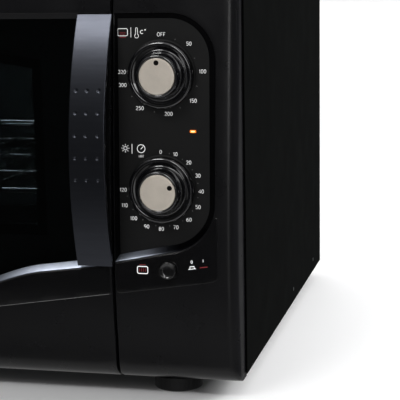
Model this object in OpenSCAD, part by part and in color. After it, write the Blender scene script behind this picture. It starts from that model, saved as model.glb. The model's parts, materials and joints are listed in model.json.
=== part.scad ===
// Countertop rotisserie oven with a side-hinged door, bow handle and two-knob control panel.
// Frame: origin under the middle of the overall box, on the table. +X right, +Y to the back, +Z up.

/* [Overall size] */
// Width over the sheet sides
oven_w = 580; // [578:1:584]
// Depth from the front of the handle to the back of the rear spacers
oven_d = 481; // [479:1:485]
// Height from the table to the top of the cover
oven_h = 365; // [363:1:370]
// Height of the feet
foot_h = 15; // [13:1:16]

/* [Cavity] */
// Inner width of the cooking cavity
cavity_w = 420; // [416:1:424]
// Inner depth of the cooking cavity
cavity_d = 353; // [348:1:356]
// Height of the cavity floor above the table
cavity_floor = 52; // [50:1:54]
// Inner height of the cooking cavity
cavity_h = 280; // [276:1:282]

/* [Front] */
// Width of the control panel
panel_w = 97.5; // [96:0.5:98]
// Gap between the door and the control panel
door_gap = 2; // [1.5:0.5:3]
// Thickness of the moulded front shells
shell_t = 2; // [1.8:0.1:2]
// Radius of the bow of the handle
handle_bow_r = 228; // [226:1:229]
// Width of the handle strap
handle_w = 28.5; // [26:0.5:30]
// Thickness of the handle strap
handle_t = 4; // [3:0.5:4]

/* [Controls] */
// Height of the thermostat dial's centre
thermostat_z = 253.8; // [252.8:0.5:255.8]
// Height of the timer dial's centre
timer_z = 165.5; // [163.5:0.5:167.5]
// Outer radius of a knob's skirt
knob_r = 25.8; // [24:0.2:26]

/* [Hidden] */
$fn = 64;

// Planes across the depth, counted back from the front of the handle
front_y = -oven_d / 2;
belly_y = front_y + 17;
bow_top_y = front_y + 35.5;
bow_foot_y = front_y + 22.5;
hinge_y = front_y + 33;
door_back_y = front_y + 45;
cover_front_y = front_y + 46;
plug_back_y = front_y + 48.5;
frame_y = front_y + 50;
cavity_y0 = frame_y + 1;
cavity_y1 = cavity_y0 + cavity_d;
cover_back_y = oven_d / 2 - 18;

// Planes across the width and height
side_x = oven_w / 2;
sheet_t = 1;
case_corner_r = 16;
shell_inset = 1.5;
panel_x1 = side_x - shell_inset;
panel_x0 = panel_x1 - panel_w;
door_x0 = -side_x + shell_inset;
door_x1 = panel_x0 - door_gap;
shell_z0 = foot_h - 3;
shell_z1 = oven_h - 5;
cavity_x0 = -side_x + 28;
cavity_x1 = cavity_x0 + cavity_w;
cavity_z1 = cavity_floor + cavity_h;
shield_x = cavity_x1 + 18;
hinge_x = door_x0 + 3.5;
hinge_heights = [62, 232];
hinge_pin_r = 2;
arm_t = 2.5;

// Bow of the front, seen from the side: furthest out at the belly
belly_z = 95;
bow_rise = 290;
step_z = 6;
edge_r = 16;
function ease(t) = (1 - cos(180 * min(1, max(0, t)))) / 2;
function bow_y(z) = z > belly_z
    ? belly_y + (bow_top_y - belly_y) * ease((z - belly_z) / bow_rise)
    : belly_y + (bow_foot_y - belly_y) * ease((belly_z - z) / (belly_z - shell_z0));

// Plane of the glass and of the dial plate, leaning back towards the top
recess_slope = 10 / 190;
recess_low_z = 110;
recess_low_y = front_y + 24;
function recess_y(z) = recess_low_y + (z - recess_low_z) * recess_slope;

// Outlines on the front
recess_top_z = 301;
glass_top_z = 296.8;
window_x0 = door_x0 + 26;
window_x1 = door_x1 - 29;
window_low_z = 76;
sweep_x0 = 40;
sweep_x1 = 130;
sweep_rise = 16.7;
sweep_slope = 0.13;
band_h = 5.4;
inlay_tip_x = 4;
inlay_edge_z = 83.5;
inlay_slope = 0.15;
dial_x1 = 271.4;
dial_corner_r = 37;
dial_low_z = 113.3;
dial_slope = 0.2;
dial_turn_r = 28;
dial_band_h = 4.8;

// Control axes
dial_x = 228.4;
dial_boss_r = 27.2;
shaft_r = 3;
shaft_bore_r = 3.05;
knob_h = 14.5;
boss_h = 1;
cap_r = 14;
button_x = 234;
button_z = 104.3;
button_r = 7;
lamp_x = 252.9;
lamp_z = 210.8;

// Rotisserie
spit_y = (cavity_y0 + cavity_y1) / 2;
spit_z = cavity_floor + cavity_h / 2;
spit_r = 4;
spit_x0 = cavity_x0 + 16;
spit_tip = 14;
socket_x0 = cavity_x1 - 6;
spit_x1 = socket_x0 + spit_tip;
fork_reach = 18;
fork_tine_l = 70;
left_fork_x = cavity_x0 + 70;
right_fork_x = cavity_x1 - 62;

// Things in the cavity
shelf_z = 153;
tray_z = 84;
runner_levels = [tray_z, shelf_z, 222];
runner_w = 7;
element_r = 3.3;
upper_element_z = cavity_z1 - 16;
lower_element_z = cavity_floor + 14;
element_rows = [-120, -42, 42, 120];
oven_lamp_y = cavity_y1 - 60;
oven_lamp_z = cavity_z1 - 62;
oven_lamp_r = 20;
bulb_y0 = cavity_y0 + 40;
bulb_z = cavity_z1 - 34;

foot_r = 19.6;
foot_x = 231.5;
foot_front_y = cover_front_y + 9;
foot_neck_r = 4.5;
foot_rear_y = cover_back_y - 40;
gland_x = 245;
gland_z = 60;
terminal_z = foot_h + sheet_t;

// Solid from a (Y, Z) outline, pushed along X from x0 to x1
module along_x(x0, x1) translate([x0, 0, 0]) rotate([90, 0, 90]) linear_extrude(x1 - x0) children();

// Solid from an (X, Z) outline, pushed along Y from y0 to y1
module along_y(y0, y1) translate([0, y1, 0]) rotate([90, 0, 0]) linear_extrude(y1 - y0) children();

module block(lo, hi) translate(lo) cube(hi - lo);

module rod_x(x0, x1, y, z, r) translate([x0, y, z]) rotate([0, 90, 0]) cylinder(r = r, h = x1 - x0);

module rod_y(x, y0, y1, z, r) translate([x, y0, z]) rotate([-90, 0, 0]) cylinder(r = r, h = y1 - y0);

module rod_z(x, y, z0, z1, r) translate([x, y, z0]) cylinder(r = r, h = z1 - z0);

// End view of the case moved in by inset, standing on low_z, with rounded top corners
module case_outline(inset, low_z) {
    r = case_corner_r - inset;
    w = side_x - inset;
    top = oven_h - inset;
    translate([-w, low_z]) square([2 * w, top - r - low_z]);
    translate([-w + r, low_z]) square([2 * (w - r), top - low_z]);
    for (s = [-1, 1]) translate([s * (w - r), top - r]) circle(r);
}

// Side outline of the front between the bow moved back by inset and a flat back plane
function bow_heights(z0, z1) = [for (i = [0 : ceil((z1 - z0) / step_z)]) min(z1, z0 + i * step_z)];
module bow_outline(inset, back_y) {
    z_low = shell_z0 + inset;
    z_arc = shell_z0 + edge_r;
    arc_r = edge_r - inset;
    arc_y = bow_y(z_arc) + edge_r;
    polygon(concat(
        [[back_y, z_low]],
        [for (a = [0 : 11.25 : 78.75]) [min(back_y, arc_y - arc_r * sin(a)), z_arc - arc_r * cos(a)]],
        [for (z = bow_heights(z_arc, shell_z1 - inset)) [bow_y(z) + inset, z]],
        [[back_y, shell_z1 - inset]]
    ));
}

// Skin that follows the bow, from one inset to a deeper one
module bow_skin(x0, x1, inset0, inset1) difference() {
    along_x(x0, x1) bow_outline(inset0, door_back_y);
    along_x(x0 - 1, x1 + 1) bow_outline(inset1, door_back_y + 1);
}

// Solid between x0 and x1 inside the bow, with the case's rounded corner
module bow_solid(x0, x1, inset, back_y) intersection() {
    along_x(x0, x1) bow_outline(inset, back_y);
    along_y(front_y, back_y + 1) case_outline(shell_inset + inset, shell_z0);
}
module bow_shell(x0, x1, back_y) difference() {
    bow_solid(x0, x1, 0, back_y);
    bow_solid(x0 + shell_t, x1 - shell_t, shell_t, back_y + 1);
}

// Plate lying on the leaning recess plane, from depth0 to depth1 behind it
module recess_slab(x0, x1, depth0, depth1) along_x(x0, x1) polygon([
    for (c = [[0, depth0], [oven_h, depth0], [oven_h, depth1], [0, depth1]]) [recess_y(c[0]) + c[1], c[0]]]);

// Lower edge of the window opening: low on the left, swept up to the band on the right
function sweep_edge(x) = window_low_z + sweep_rise * ease((x - sweep_x0) / (sweep_x1 - sweep_x0))
    + sweep_slope * max(0, x - sweep_x0);
function band_drop(x) = band_h * ease((x - sweep_x0) / (sweep_x1 - sweep_x0) + 0.2);
sweep_xs = [for (i = [0 : 13]) sweep_x0 + i * 8];

// Window outline on the door, with its lower edge let down by the trim band when drop is 1
module window_outline(drop) polygon(concat(
    [[window_x0 + 24, window_low_z]],
    [for (x = sweep_xs) [x, sweep_edge(x) - drop * band_drop(x)]],
    [[door_x1, sweep_edge(door_x1) - drop * band_h], [door_x1, recess_top_z - 4.2 * (1 - drop)]],
    [for (a = [90 : 15 : 180]) [window_x0 + 24 + 24 * cos(a), glass_top_z - 24 + 4.2 * drop + 24 * sin(a)]],
    [for (a = [180 : 15 : 270]) [window_x0 + 24 + 24 * cos(a), window_low_z + 24 + 24 * sin(a)]]
));

// Part of the window opening that shows behind the handle
module door_window_outline(drop) intersection() {
    window_outline(drop);
    translate([window_x0, 0]) square([window_x1 - window_x0, oven_h]);
}

// Outline of the dial recess: flat towards the door, one large corner above and a rising sweep below
function dial_sweep(x) = dial_low_z + dial_slope * (x - panel_x0) + dial_turn_r
    - sqrt(pow(dial_turn_r, 2) - pow(max(0, dial_turn_r - max(0, dial_x1 - x)), 2));
dial_xs = [for (i = [0 : 14]) panel_x0 + shell_t + (dial_x1 - panel_x0 - shell_t) * sin(90 * i / 14)];
module dial_outline(drop) polygon(concat(
    [for (x = dial_xs) [x, dial_sweep(x) - dial_band_h * drop]],
    [for (a = [0 : 15 : 90]) [dial_x1 - dial_corner_r + dial_corner_r * cos(a),
                              recess_top_z - dial_corner_r + dial_corner_r * sin(a)]],
    [[panel_x0 + shell_t, recess_top_z]]
));

// Gloss inlay below the band: a wedge on the door that carries on across the panel
function inlay_low(x) = inlay_edge_z + inlay_slope * (x - door_x1);
module door_inlay_outline() polygon(concat(
    [for (x = [for (i = [0 : 8]) inlay_tip_x + 24 + i * 17]) [x, min(inlay_low(x), 71) + max(0, inlay_low(x) - 71)]],
    [[door_x1 - 1, inlay_low(door_x1)], [door_x1 - 1, sweep_edge(door_x1) - band_h - 0.5]],
    [for (i = [len(sweep_xs) - 1 : -1 : 0]) [sweep_xs[i], sweep_edge(sweep_xs[i]) - band_drop(sweep_xs[i]) - 0.5]]
));
module panel_inlay_outline() difference() {
    polygon([[panel_x0 + 1, inlay_low(panel_x0)], [dial_x1 + 2, inlay_low(dial_x1)], [dial_x1 + 2, 146],
             [panel_x0 + 1, 146]]);
    polygon(concat([for (x = dial_xs) [x - shell_t, dial_sweep(x) - dial_band_h - 0.5]],
                   [[dial_x1 + 0.5, 150], [panel_x0 - 1, 150]]));
}

// ---- Case ----

module outer_cover() color("#262829") {
    difference() {
        along_y(cover_front_y, cover_back_y) case_outline(0, foot_h);
        along_y(cover_front_y - 1, cover_back_y + 1) case_outline(sheet_t, foot_h - 1);
        for (s = [-1, 1], y = [40, 170]) rod_x(s * side_x - 2, s * side_x + 2, y, foot_h + 12, 2);
    }
}

module base_plate() color("#303234") difference() {
    w = side_x - sheet_t;
    block([-w, cover_front_y + 4, foot_h], [w, cover_back_y - 2, foot_h + 18]);
    block([-w + sheet_t, cover_front_y + 5, foot_h + sheet_t], [w - sheet_t, cover_back_y - 3, foot_h + 19]);
    for (i = [0 : 7], s = [-1, 1]) block([s * 110 - 60, -90 + i * 24, foot_h - 1], [s * 110 + 60, -84 + i * 24, foot_h + 2]);
    for (x = [-foot_x, foot_x], y = [foot_front_y, foot_rear_y]) rod_z(x, y, foot_h - 1, foot_h + 2, 2);
    for (s = [-1, 1], y = [40, 170]) rod_x(s * side_x - 3, s * side_x + 3, y, foot_h + 12, 2);
}

rear_screw_places = [for (x = [-side_x + 12, side_x - 12], z = [foot_h + 30, oven_h / 2, oven_h - 22]) [x, z]];
module rear_panel() color("#3a3c3e") difference() {
    along_y(cover_back_y - 2, cover_back_y - 1) case_outline(sheet_t, foot_h + sheet_t);
    for (i = [0 : 6], x = [-170, 170]) block([x - 70, cover_back_y - 4, 200 + i * 14], [x + 70, cover_back_y, 205 + i * 14]);
    rod_y(gland_x, cover_back_y - 4, cover_back_y, gland_z, 8);
    for (p = rear_screw_places) rod_y(p[0], cover_back_y - 4, cover_back_y, p[1], 2);
}

module rear_spacers() color("#1b1c1d") for (x = [-200, 200]) {
    block([x - 12, cover_back_y - 1, 120], [x + 12, cover_back_y + 2, 300]);
    for (z = [150, 270]) block([x - 9, cover_back_y + 1, z - 9], [x + 9, oven_d / 2, z + 9]);
}

module front_frame() color("#2e3032") difference() {
    union() {
        along_y(frame_y, frame_y + sheet_t) case_outline(sheet_t, foot_h + 18);
        difference() {
            along_y(frame_y, frame_y + 12) case_outline(sheet_t, foot_h + 18);
            along_y(frame_y - 1, frame_y + 13) case_outline(2 * sheet_t, foot_h);
        }
    }
    block([cavity_x0, frame_y - 1, cavity_floor], [cavity_x1, frame_y + 5, cavity_z1]);
    for (z = hinge_heights) block([hinge_x - 3.6, frame_y - 1, z - 3], [hinge_x + 3.6, frame_y + 5, z + 3]);
    for (z = [thermostat_z, timer_z]) rod_y(dial_x, frame_y - 1, frame_y + 5, z, 5);
    rod_y(button_x, frame_y - 1, frame_y + 5, button_z, 6.1);
    rod_y(lamp_x, frame_y - 1, frame_y + 5, lamp_z, 5);
}

// Everything that passes through the right wall of the cavity: [y, z, radius]
wall_ports = concat(
    [[spit_y, spit_z, 10], [oven_lamp_y, oven_lamp_z, oven_lamp_r]],
    [[bulb_y0 + 100, bulb_z, 2.5]],
    [for (e = [upper_element_z, lower_element_z], y = [element_rows[0], element_rows[3]]) [spit_y + y, e, 6]]
);
module wall_port_bores(x0, x1, grow) for (p = wall_ports) rod_x(x0, x1, p[0], p[1], p[2] + grow);

module cavity_liner() color("#8d9194") difference() {
    t = sheet_t;
    block([cavity_x0 - t, cavity_y0, cavity_floor - t], [cavity_x1 + t, cavity_y1 + t, cavity_z1 + t]);
    block([cavity_x0, cavity_y0 - 1, cavity_floor], [cavity_x1, cavity_y1, cavity_z1]);
    wall_port_bores(cavity_x1 - 1, cavity_x1 + 2, 0);
}

module shelf_runners() color("#9a9ea1") for (z = runner_levels, s = [0, 1]) {
    x = s == 0 ? cavity_x0 : cavity_x1 - runner_w;
    block([x, cavity_y0 + 6, z - 5], [x + runner_w, cavity_y1 - 4, z - 3]);
}

module insulation() color("#c9c2ad") difference() {
    block([cavity_x0 - 16, cavity_y0, cavity_floor - 14], [cavity_x1 + 12, cavity_y1 + 16, cavity_z1 + 17]);
    block([cavity_x0 - sheet_t, cavity_y0 - 1, cavity_floor - sheet_t],
          [cavity_x1 + sheet_t, cavity_y1 + sheet_t, cavity_z1 + sheet_t]);
    wall_port_bores(cavity_x1, cavity_x1 + 20, 3);
}

module heat_shield() color("#7c8083") difference() {
    block([shield_x, frame_y + 14, foot_h + sheet_t], [shield_x + sheet_t, cover_back_y - 5, oven_h - 3]);
    wall_port_bores(shield_x - 1, shield_x + 2, 1);
}

module feet() color("#18191a") for (x = [-foot_x, foot_x], y = [foot_front_y, foot_rear_y]) {
    rod_z(x, y, 0, shell_z0 - 0.5, foot_r);
    rod_z(x, y, shell_z0 - 0.5, foot_h, foot_neck_r);
    rod_z(x, y, foot_h, foot_h + sheet_t, 2);
    rod_z(x, y, foot_h + sheet_t, foot_h + 3, 4);
}

module case_screws() color("#9fa2a5") {
    for (s = [-1, 1], y = [40, 170]) {
        rod_x(min(s * (side_x - 5), s * side_x), max(s * (side_x - 5), s * side_x), y, foot_h + 12, 2);
    }
    for (p = rear_screw_places) {
        rod_y(p[0], cover_back_y - 6, cover_back_y - 1, p[1], 2);
        rod_y(p[0], cover_back_y - 1, cover_back_y + 1, p[1], 3.5);
    }
}

// ---- Control panel ----

module panel_bezel() color("#2b2c2f") difference() {
    bow_shell(panel_x0, panel_x1, frame_y);
    along_y(front_y, cover_front_y - 2) dial_outline(1);
    rod_y(button_x, front_y, cover_front_y + 1, button_z, button_r + 0.1);
}

module dial_plate() color("#232426") difference() {
    union() {
        intersection() {
            recess_slab(panel_x0 + shell_t, panel_x1 - shell_t, 0, 1.5);
            along_y(front_y, frame_y) translate([panel_x0 + shell_t + 0.2, 112])
                square([panel_w - 2 * shell_t - 0.4, recess_top_z + 3 - 112]);
        }
        for (z = [thermostat_z, timer_z]) rod_y(dial_x, recess_y(z) - boss_h, recess_y(z) + 1, z, dial_boss_r);
    }
    for (z = [thermostat_z, timer_z]) rod_y(dial_x, front_y, frame_y, z, 5);
    block([lamp_x - 4.5, front_y, lamp_z - 2], [lamp_x + 4.5, frame_y, lamp_z + 2]);
}

module panel_trim_band() color("#9c9cab") difference() {
    along_y(front_y, frame_y) difference() {
        dial_outline(1);
        dial_outline(0);
        translate([panel_x0, 180]) square([panel_w, oven_h]);
    }
    recess_slab(panel_x0, panel_x1, 0, 60);
    along_x(panel_x0 - 1, panel_x1 + 1) difference() {
        translate([front_y - 1, 0]) square([40, oven_h]);
        bow_outline(0.2, door_back_y + 40);
    }
}

module panel_inlay() color("#0d0d0f") difference() {
    intersection() {
        bow_skin(panel_x0, panel_x1, -0.4, 0);
        along_y(front_y, frame_y) panel_inlay_outline();
    }
    rod_y(button_x, front_y, frame_y, button_z, button_r + 0.1);
}

// Knob turned about Y: back face of the skirt at y, grip reaching knob_h in front of it
module knob(y, z) color("#101113") translate([dial_x, y, z]) rotate([90, 0, 0]) difference() {
    rotate_extrude() polygon([[shaft_r, 0], [knob_r, 0], [knob_r, 2.4], [knob_r - 0.8, 4], [knob_r - 2.4, 4.8],
        [knob_r - 4.2, 4.2], [19.6, 3.4], [18, 5], [16.6, knob_h - 2.5], [15.4, knob_h], [cap_r, knob_h],
        [cap_r, knob_h - 1.5], [shaft_r, knob_h - 1.5]]);
    translate([0, 0, -1]) cylinder(r = shaft_r, h = knob_h);
}
module knob_cap(y, z) color("#c4b9ac") rod_y(dial_x, y - knob_h, y - knob_h + 1.5, z, cap_r);
module dial_shaft(y, z) color("#b5b8bb") {
    rod_y(dial_x, y - knob_h + 1.5, frame_y + 12, z, shaft_r);
}
module control_body(z, size) color("#6f7376") {
    difference() {
        union() {
            block([dial_x - size / 2, frame_y + sheet_t, z - size / 2],
                  [dial_x + size / 2, frame_y + 30, z + size / 2]);
            rod_y(dial_x, frame_y - 1.5, frame_y + sheet_t, z, 5);
        }
        rod_y(dial_x, frame_y - 2, frame_y + 12.1, z, shaft_bore_r);
    }
    for (s = [-1, 1]) block([dial_x + s * 8 - 3, frame_y + 30, z - 4], [dial_x + s * 8 + 3, frame_y + 38, z + 4]);
}
thermostat_y = recess_y(thermostat_z) - boss_h - 0.6;
timer_y = recess_y(timer_z) - boss_h - 0.6;
module thermostat_knob() knob(thermostat_y, thermostat_z);
module thermostat_cap() knob_cap(thermostat_y, thermostat_z);
module thermostat_shaft() dial_shaft(thermostat_y, thermostat_z);
module thermostat_body() control_body(thermostat_z, 34);
module timer_knob() knob(timer_y, timer_z);
module timer_cap() knob_cap(timer_y, timer_z);
module timer_shaft() dial_shaft(timer_y, timer_z);
module timer_body() control_body(timer_z, 46);

// Capillary from the thermostat, over the liner's top corner and through the right wall to the bulb
capillary_y = bulb_y0 + 100;
capillary_x = dial_x - 8;
elbow = [2.6, 2.6, 2.6];
module sensing_bulb() color("#b87a4b") {
    bulb_x = cavity_x1 - 7;
    rod_z(capillary_x, frame_y + 15, thermostat_z + 17, bulb_z, 1);
    rod_y(capillary_x, frame_y + 15, capillary_y, bulb_z, 1);
    rod_x(bulb_x, capillary_x, capillary_y, bulb_z, 1);
    rod_y(bulb_x, bulb_y0 + 80, capillary_y, bulb_z, 1);
    for (p = [[capillary_x, frame_y + 15, bulb_z], [capillary_x, capillary_y, bulb_z], [bulb_x, capillary_y, bulb_z]])
        translate(p - elbow / 2) cube(elbow);
    rod_y(bulb_x, bulb_y0, bulb_y0 + 80, bulb_z, 3);
}

button_face_y = belly_y - 3.9;
module browning_button() color("#141518") {
    rod_y(button_x, button_face_y, button_face_y + 8, button_z, button_r);
    rod_y(button_x, button_face_y + 8, frame_y + 8, button_z, 2.5);
}
module button_switch() color("#2a2c2f") difference() {
    union() {
        rod_y(button_x, frame_y - 2, frame_y + 1, button_z, 6);
        block([button_x - 8, frame_y + 1, button_z - 12], [button_x + 8, frame_y + 26, button_z + 12]);
    }
    rod_y(button_x, frame_y - 3, frame_y + 12, button_z, 2.55);
}
module indicator_lamp() color("#ff9a20") {
    block([lamp_x - 2.7, recess_y(lamp_z) - 0.8, lamp_z - 1.2], [lamp_x + 2.7, recess_y(lamp_z) + 3, lamp_z + 1.2]);
    rod_y(lamp_x, recess_y(lamp_z) + 3, frame_y + 14, lamp_z, 4);
}
module terminal_block() color("#d9d4c6") difference() {
    block([gland_x - 8, cover_back_y - 60, terminal_z], [gland_x + 28, cover_back_y - 30, terminal_z + 18]);
    for (i = [0 : 2]) rod_y(gland_x - 2 + i * 12, cover_back_y - 61, cover_back_y - 29, terminal_z + 9, 2.5);
}
module cord_gland() color("#151617") difference() {
    union() {
        rod_y(gland_x, cover_back_y - 12, cover_back_y + 3, gland_z, 7.9);
        rod_y(gland_x, cover_back_y - 1, cover_back_y + 3, gland_z, 11);
        rod_y(gland_x, cover_back_y - 6, cover_back_y - 2, gland_z, 10);
    }
    rod_y(gland_x, cover_back_y - 13, cover_back_y + 4, gland_z, 4);
}

// ---- Heating and light ----

// Four straight runs joined by half-circle bends, with both ends through the right wall
module element(z) color("#4b4d50") {
    bend_x0 = cavity_x0 + 62;
    bend_x1 = cavity_x1 - 70;
    y = [for (row = element_rows) spit_y + row];
    ends = [shield_x + 12, bend_x1, bend_x1, shield_x + 12];
    for (i = [0 : 3]) rod_x(bend_x0, ends[i], y[i], z, element_r);
    for (i = [0, 2]) translate([bend_x0, (y[i] + y[i + 1]) / 2, z]) rotate([0, 0, 90])
        rotate_extrude(angle = 180) translate([(y[i + 1] - y[i]) / 2, 0]) circle(element_r, $fn = 24);
    translate([bend_x1, (y[1] + y[2]) / 2, z]) rotate([0, 0, -90])
        rotate_extrude(angle = 180) translate([(y[2] - y[1]) / 2, 0]) circle(element_r, $fn = 24);
}
module upper_element() element(upper_element_z);
module lower_element() element(lower_element_z);
module element_ceramics() color("#e8e4da")
    for (z = [upper_element_z, lower_element_z], y = [element_rows[0], element_rows[3]]) difference() {
        rod_x(cavity_x1 - 3, shield_x + 6, spit_y + y, z, 5.9);
        rod_x(cavity_x1 - 4, shield_x + 7, spit_y + y, z, element_r);
    }

module lamp_holder() color("#d8d3c5") difference() {
    union() {
        rod_x(cavity_x1 + 1, shield_x, oven_lamp_y, oven_lamp_z, oven_lamp_r);
        rod_x(shield_x, shield_x + 24, oven_lamp_y, oven_lamp_z, 15);
    }
    rod_x(cavity_x1, shield_x + 14, oven_lamp_y, oven_lamp_z, 13);
}
bulb_r = 10;
bulb_cap_r = 7;
module lamp_bulb() color("#f4efdc") translate([cavity_x1 + 2, oven_lamp_y, oven_lamp_z]) rotate([0, 90, 0])
    rotate_extrude() {
        intersection() {
            circle(bulb_r);
            translate([0, -bulb_r]) square([bulb_r, 2 * bulb_r]);
        }
        square([bulb_cap_r, shield_x + 14 - cavity_x1 - 2]);
    }
module lamp_cover() color("#dfe6ea") difference() {
    translate([cavity_x1 + 1, oven_lamp_y, oven_lamp_z]) intersection() {
        sphere(oven_lamp_r - 0.1);
        translate([-40, -40, -40]) cube([40, 80, 80]);
    }
    translate([cavity_x1 + 1, oven_lamp_y, oven_lamp_z]) sphere(oven_lamp_r - 3);
}

// ---- Rotisserie ----

module spit_motor() color("#84888b") difference() {
    union() {
        rod_x(shield_x + sheet_t, shield_x + 21, spit_y, spit_z, 25);
        block([shield_x + sheet_t, spit_y - 34, spit_z - 8], [shield_x + 3, spit_y + 34, spit_z + 8]);
    }
    rod_x(shield_x, shield_x + 18, spit_y, spit_z, 3.55);
}
module motor_shaft() color("#b5b8bb") rod_x(spit_x1 + 1, shield_x + 17, spit_y, spit_z, 3.5);
module drive_socket() color("#a9adb0") difference() {
    rod_x(socket_x0, shield_x - 3, spit_y, spit_z, 8.5);
    rod_x(spit_x1, shield_x, spit_y, spit_z, 3.5);
    block([socket_x0 - 1, spit_y - 3.2, spit_z - 3.2], [spit_x1 + 1, spit_y + 3.2, spit_z + 3.2]);
}
module spit_rod() color("#c6c9cc") {
    rod_x(spit_x0, socket_x0 - 0.5, spit_y, spit_z, spit_r);
    block([socket_x0 - 1, spit_y - 3, spit_z - 3], [spit_x1, spit_y + 3, spit_z + 3]);
}
fork_hub_l = 12;
fork_hub_r = 8;
// Fork with its hub starting at x, tines pointing along dir
module fork(x, dir) color("#bfc2c5") difference() {
    union() {
        rod_x(x, x + fork_hub_l, spit_y, spit_z, fork_hub_r);
        block([x + 4, spit_y - fork_reach - 2.5, spit_z - 2.5], [x + 8, spit_y + fork_reach + 2.5, spit_z + 2.5]);
        for (s = [-1, 1]) translate([x + 6, spit_y + s * fork_reach, spit_z]) rotate([0, dir * 90, 0])
            cylinder(r = 2, h = fork_tine_l);
    }
    rod_x(x - 1, x + fork_hub_l + 1, spit_y, spit_z, spit_r + 0.05);
    rod_z(x + 6, spit_y, spit_z, spit_z + fork_hub_r + 1, 2);
}
module fork_screw(x) color("#d0d3d6") {
    rod_z(x + 6, spit_y, spit_z + spit_r + 0.4, spit_z + 13, 2);
    rod_z(x + 6, spit_y, spit_z + 13, spit_z + 18, 5.5);
}
module left_fork() fork(left_fork_x, 1);
module left_fork_screw() fork_screw(left_fork_x);
module right_fork() fork(right_fork_x, -1);
module right_fork_screw() fork_screw(right_fork_x);

module spit_support() color("#9a9ea1") difference() {
    union() {
        block([cavity_x0, spit_y - 12, spit_z - 26], [cavity_x0 + 1.5, spit_y + 12, spit_z + 8]);
        block([cavity_x0, spit_y - 12, spit_z - 26], [cavity_x0 + 22, spit_y + 12, spit_z - 24.5]);
        block([cavity_x0 + 20.5, spit_y - 12, spit_z - 26], [cavity_x0 + 22, spit_y + 12, spit_z + 8]);
    }
    rod_x(cavity_x0 + 15, cavity_x0 + 25, spit_y, spit_z, spit_r + 0.1);
    block([cavity_x0 + 15, spit_y - spit_r - 0.1, spit_z], [cavity_x0 + 25, spit_y + spit_r + 0.1, spit_z + 9]);
}

// ---- Cavity loads ----

shelf_y0 = cavity_y0 + 29;
shelf_y1 = cavity_y1 - 12;
load_x0 = cavity_x0 + 3;
load_x1 = cavity_x1 - 3;
module wire_shelf() color("#c2c5c8") {
    for (x = [load_x0, load_x1]) rod_y(x, shelf_y0, shelf_y1, shelf_z, 2.8);
    for (y = [shelf_y0, shelf_y0 + 93, shelf_y0 + 196, shelf_y1]) rod_x(load_x0, load_x1, y, shelf_z, 2.6);
    for (i = [1 : 13]) rod_y(load_x0 + i * (load_x1 - load_x0) / 14, shelf_y0, shelf_y1, shelf_z + 2.4, 1.4);
}
module drip_tray() color("#2f3133") difference() {
    union() {
        block([load_x0, shelf_y0, tray_z - 2.8], [load_x1, shelf_y1, tray_z - 1.8]);
        block([load_x0 + 8, shelf_y0 + 8, tray_z - 12], [load_x1 - 8, shelf_y1 - 8, tray_z - 1.8]);
    }
    block([load_x0 + 9, shelf_y0 + 9, tray_z - 11], [load_x1 - 9, shelf_y1 - 9, tray_z]);
}

// ---- Door ----

lug_y1 = door_back_y - 1;
lug_y0 = hinge_y - 4.4;
module door_shell() color("#242527") difference() {
    bow_shell(door_x0, door_x1, door_back_y);
    along_y(front_y, door_back_y + 1) door_window_outline(1);
    for (z = hinge_heights) {
        block([door_x0 - 1, hinge_y - 5, z - 2.5], [hinge_x + 10, door_back_y + 1, z + 2.5]);
        rod_z(hinge_x, hinge_y, z - 7.6, z + 7.6, hinge_pin_r + 0.05);
    }
    for (z = handle_fixings) rod_y(handle_x, front_y + 8, bow_y(z) + 8, z, 2);
}

module outer_glass() color("#1c2224", 0.4) intersection() {
    recess_slab(window_x0 - 6, window_x1 + 6, 0, 3);
    along_y(front_y, frame_y) translate([window_x0 - 6, window_low_z - 6])
        square([window_x1 - window_x0 + 12, recess_top_z + 4 - window_low_z + 6]);
}

inner_window = [-228, 118, 131, 255];
module inner_window_outline(grow) {
    translate([inner_window[0] - grow, inner_window[2] - grow])
        square([inner_window[1] - inner_window[0] + 2 * grow, inner_window[3] - inner_window[2] + 2 * grow]);
    arch_r = 1020;
    intersection() {
        translate([(inner_window[0] + inner_window[1]) / 2, 272 + grow - arch_r]) circle(arch_r, $fn = 240);
        translate([inner_window[0] - grow, inner_window[2]])
            square([inner_window[1] - inner_window[0] + 2 * grow, 272 - inner_window[2] + grow]);
    }
}
plug_lo = [door_x0 + 10, shell_z0 + 12];
plug_hi = [door_x1 - 9, shell_z1 - 10];
module inner_door_panel() color("#2a2b2d") difference() {
    union() {
        block([plug_lo[0], door_back_y - 1, plug_lo[1]], [plug_hi[0], plug_back_y, plug_hi[1]]);
        block([door_x0 + shell_t, door_back_y - 1, shell_z0 + shell_t + 2],
              [door_x1 - shell_t, door_back_y, plug_hi[1] - 1]);
    }
    block([plug_lo[0] + 1, door_back_y - 2, plug_lo[1] + 1], [plug_hi[0] - 1, plug_back_y - 1, plug_hi[1] - 1]);
    along_y(plug_back_y - 3, plug_back_y + 1) inner_window_outline(0);
    for (z = hinge_heights) block([door_x0, door_back_y - 2, z - 2.5], [hinge_x + 4, door_back_y + 1, z + 2.5]);
}
module inner_glass() color("#1c2224", 0.4) along_y(plug_back_y - 3.6, plug_back_y - 1) inner_window_outline(8);

module door_trim_band() color("#9c9cab") difference() {
    along_y(front_y, frame_y) difference() {
        intersection() {
            window_outline(1);
            translate([sweep_x0 - 18, 0]) square([window_x1 - sweep_x0 + 18, 140]);
        }
        window_outline(0);
    }
    recess_slab(0, door_x1 + 1, 0, 60);
    along_x(0, door_x1 + 1) difference() {
        translate([front_y - 1, 0]) square([40, oven_h]);
        bow_outline(0.2, door_back_y + 40);
    }
}
module door_inlay() color("#0d0d0f") difference() {
    intersection() {
        bow_skin(0, door_x1, -0.4, 0);
        along_y(front_y, frame_y) door_inlay_outline();
    }
    block([handle_x - handle_w / 2 - 0.5, front_y, handle_low_z - 0.3], [door_x1 + 1, frame_y, handle_low_z + 20]);
}

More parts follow.
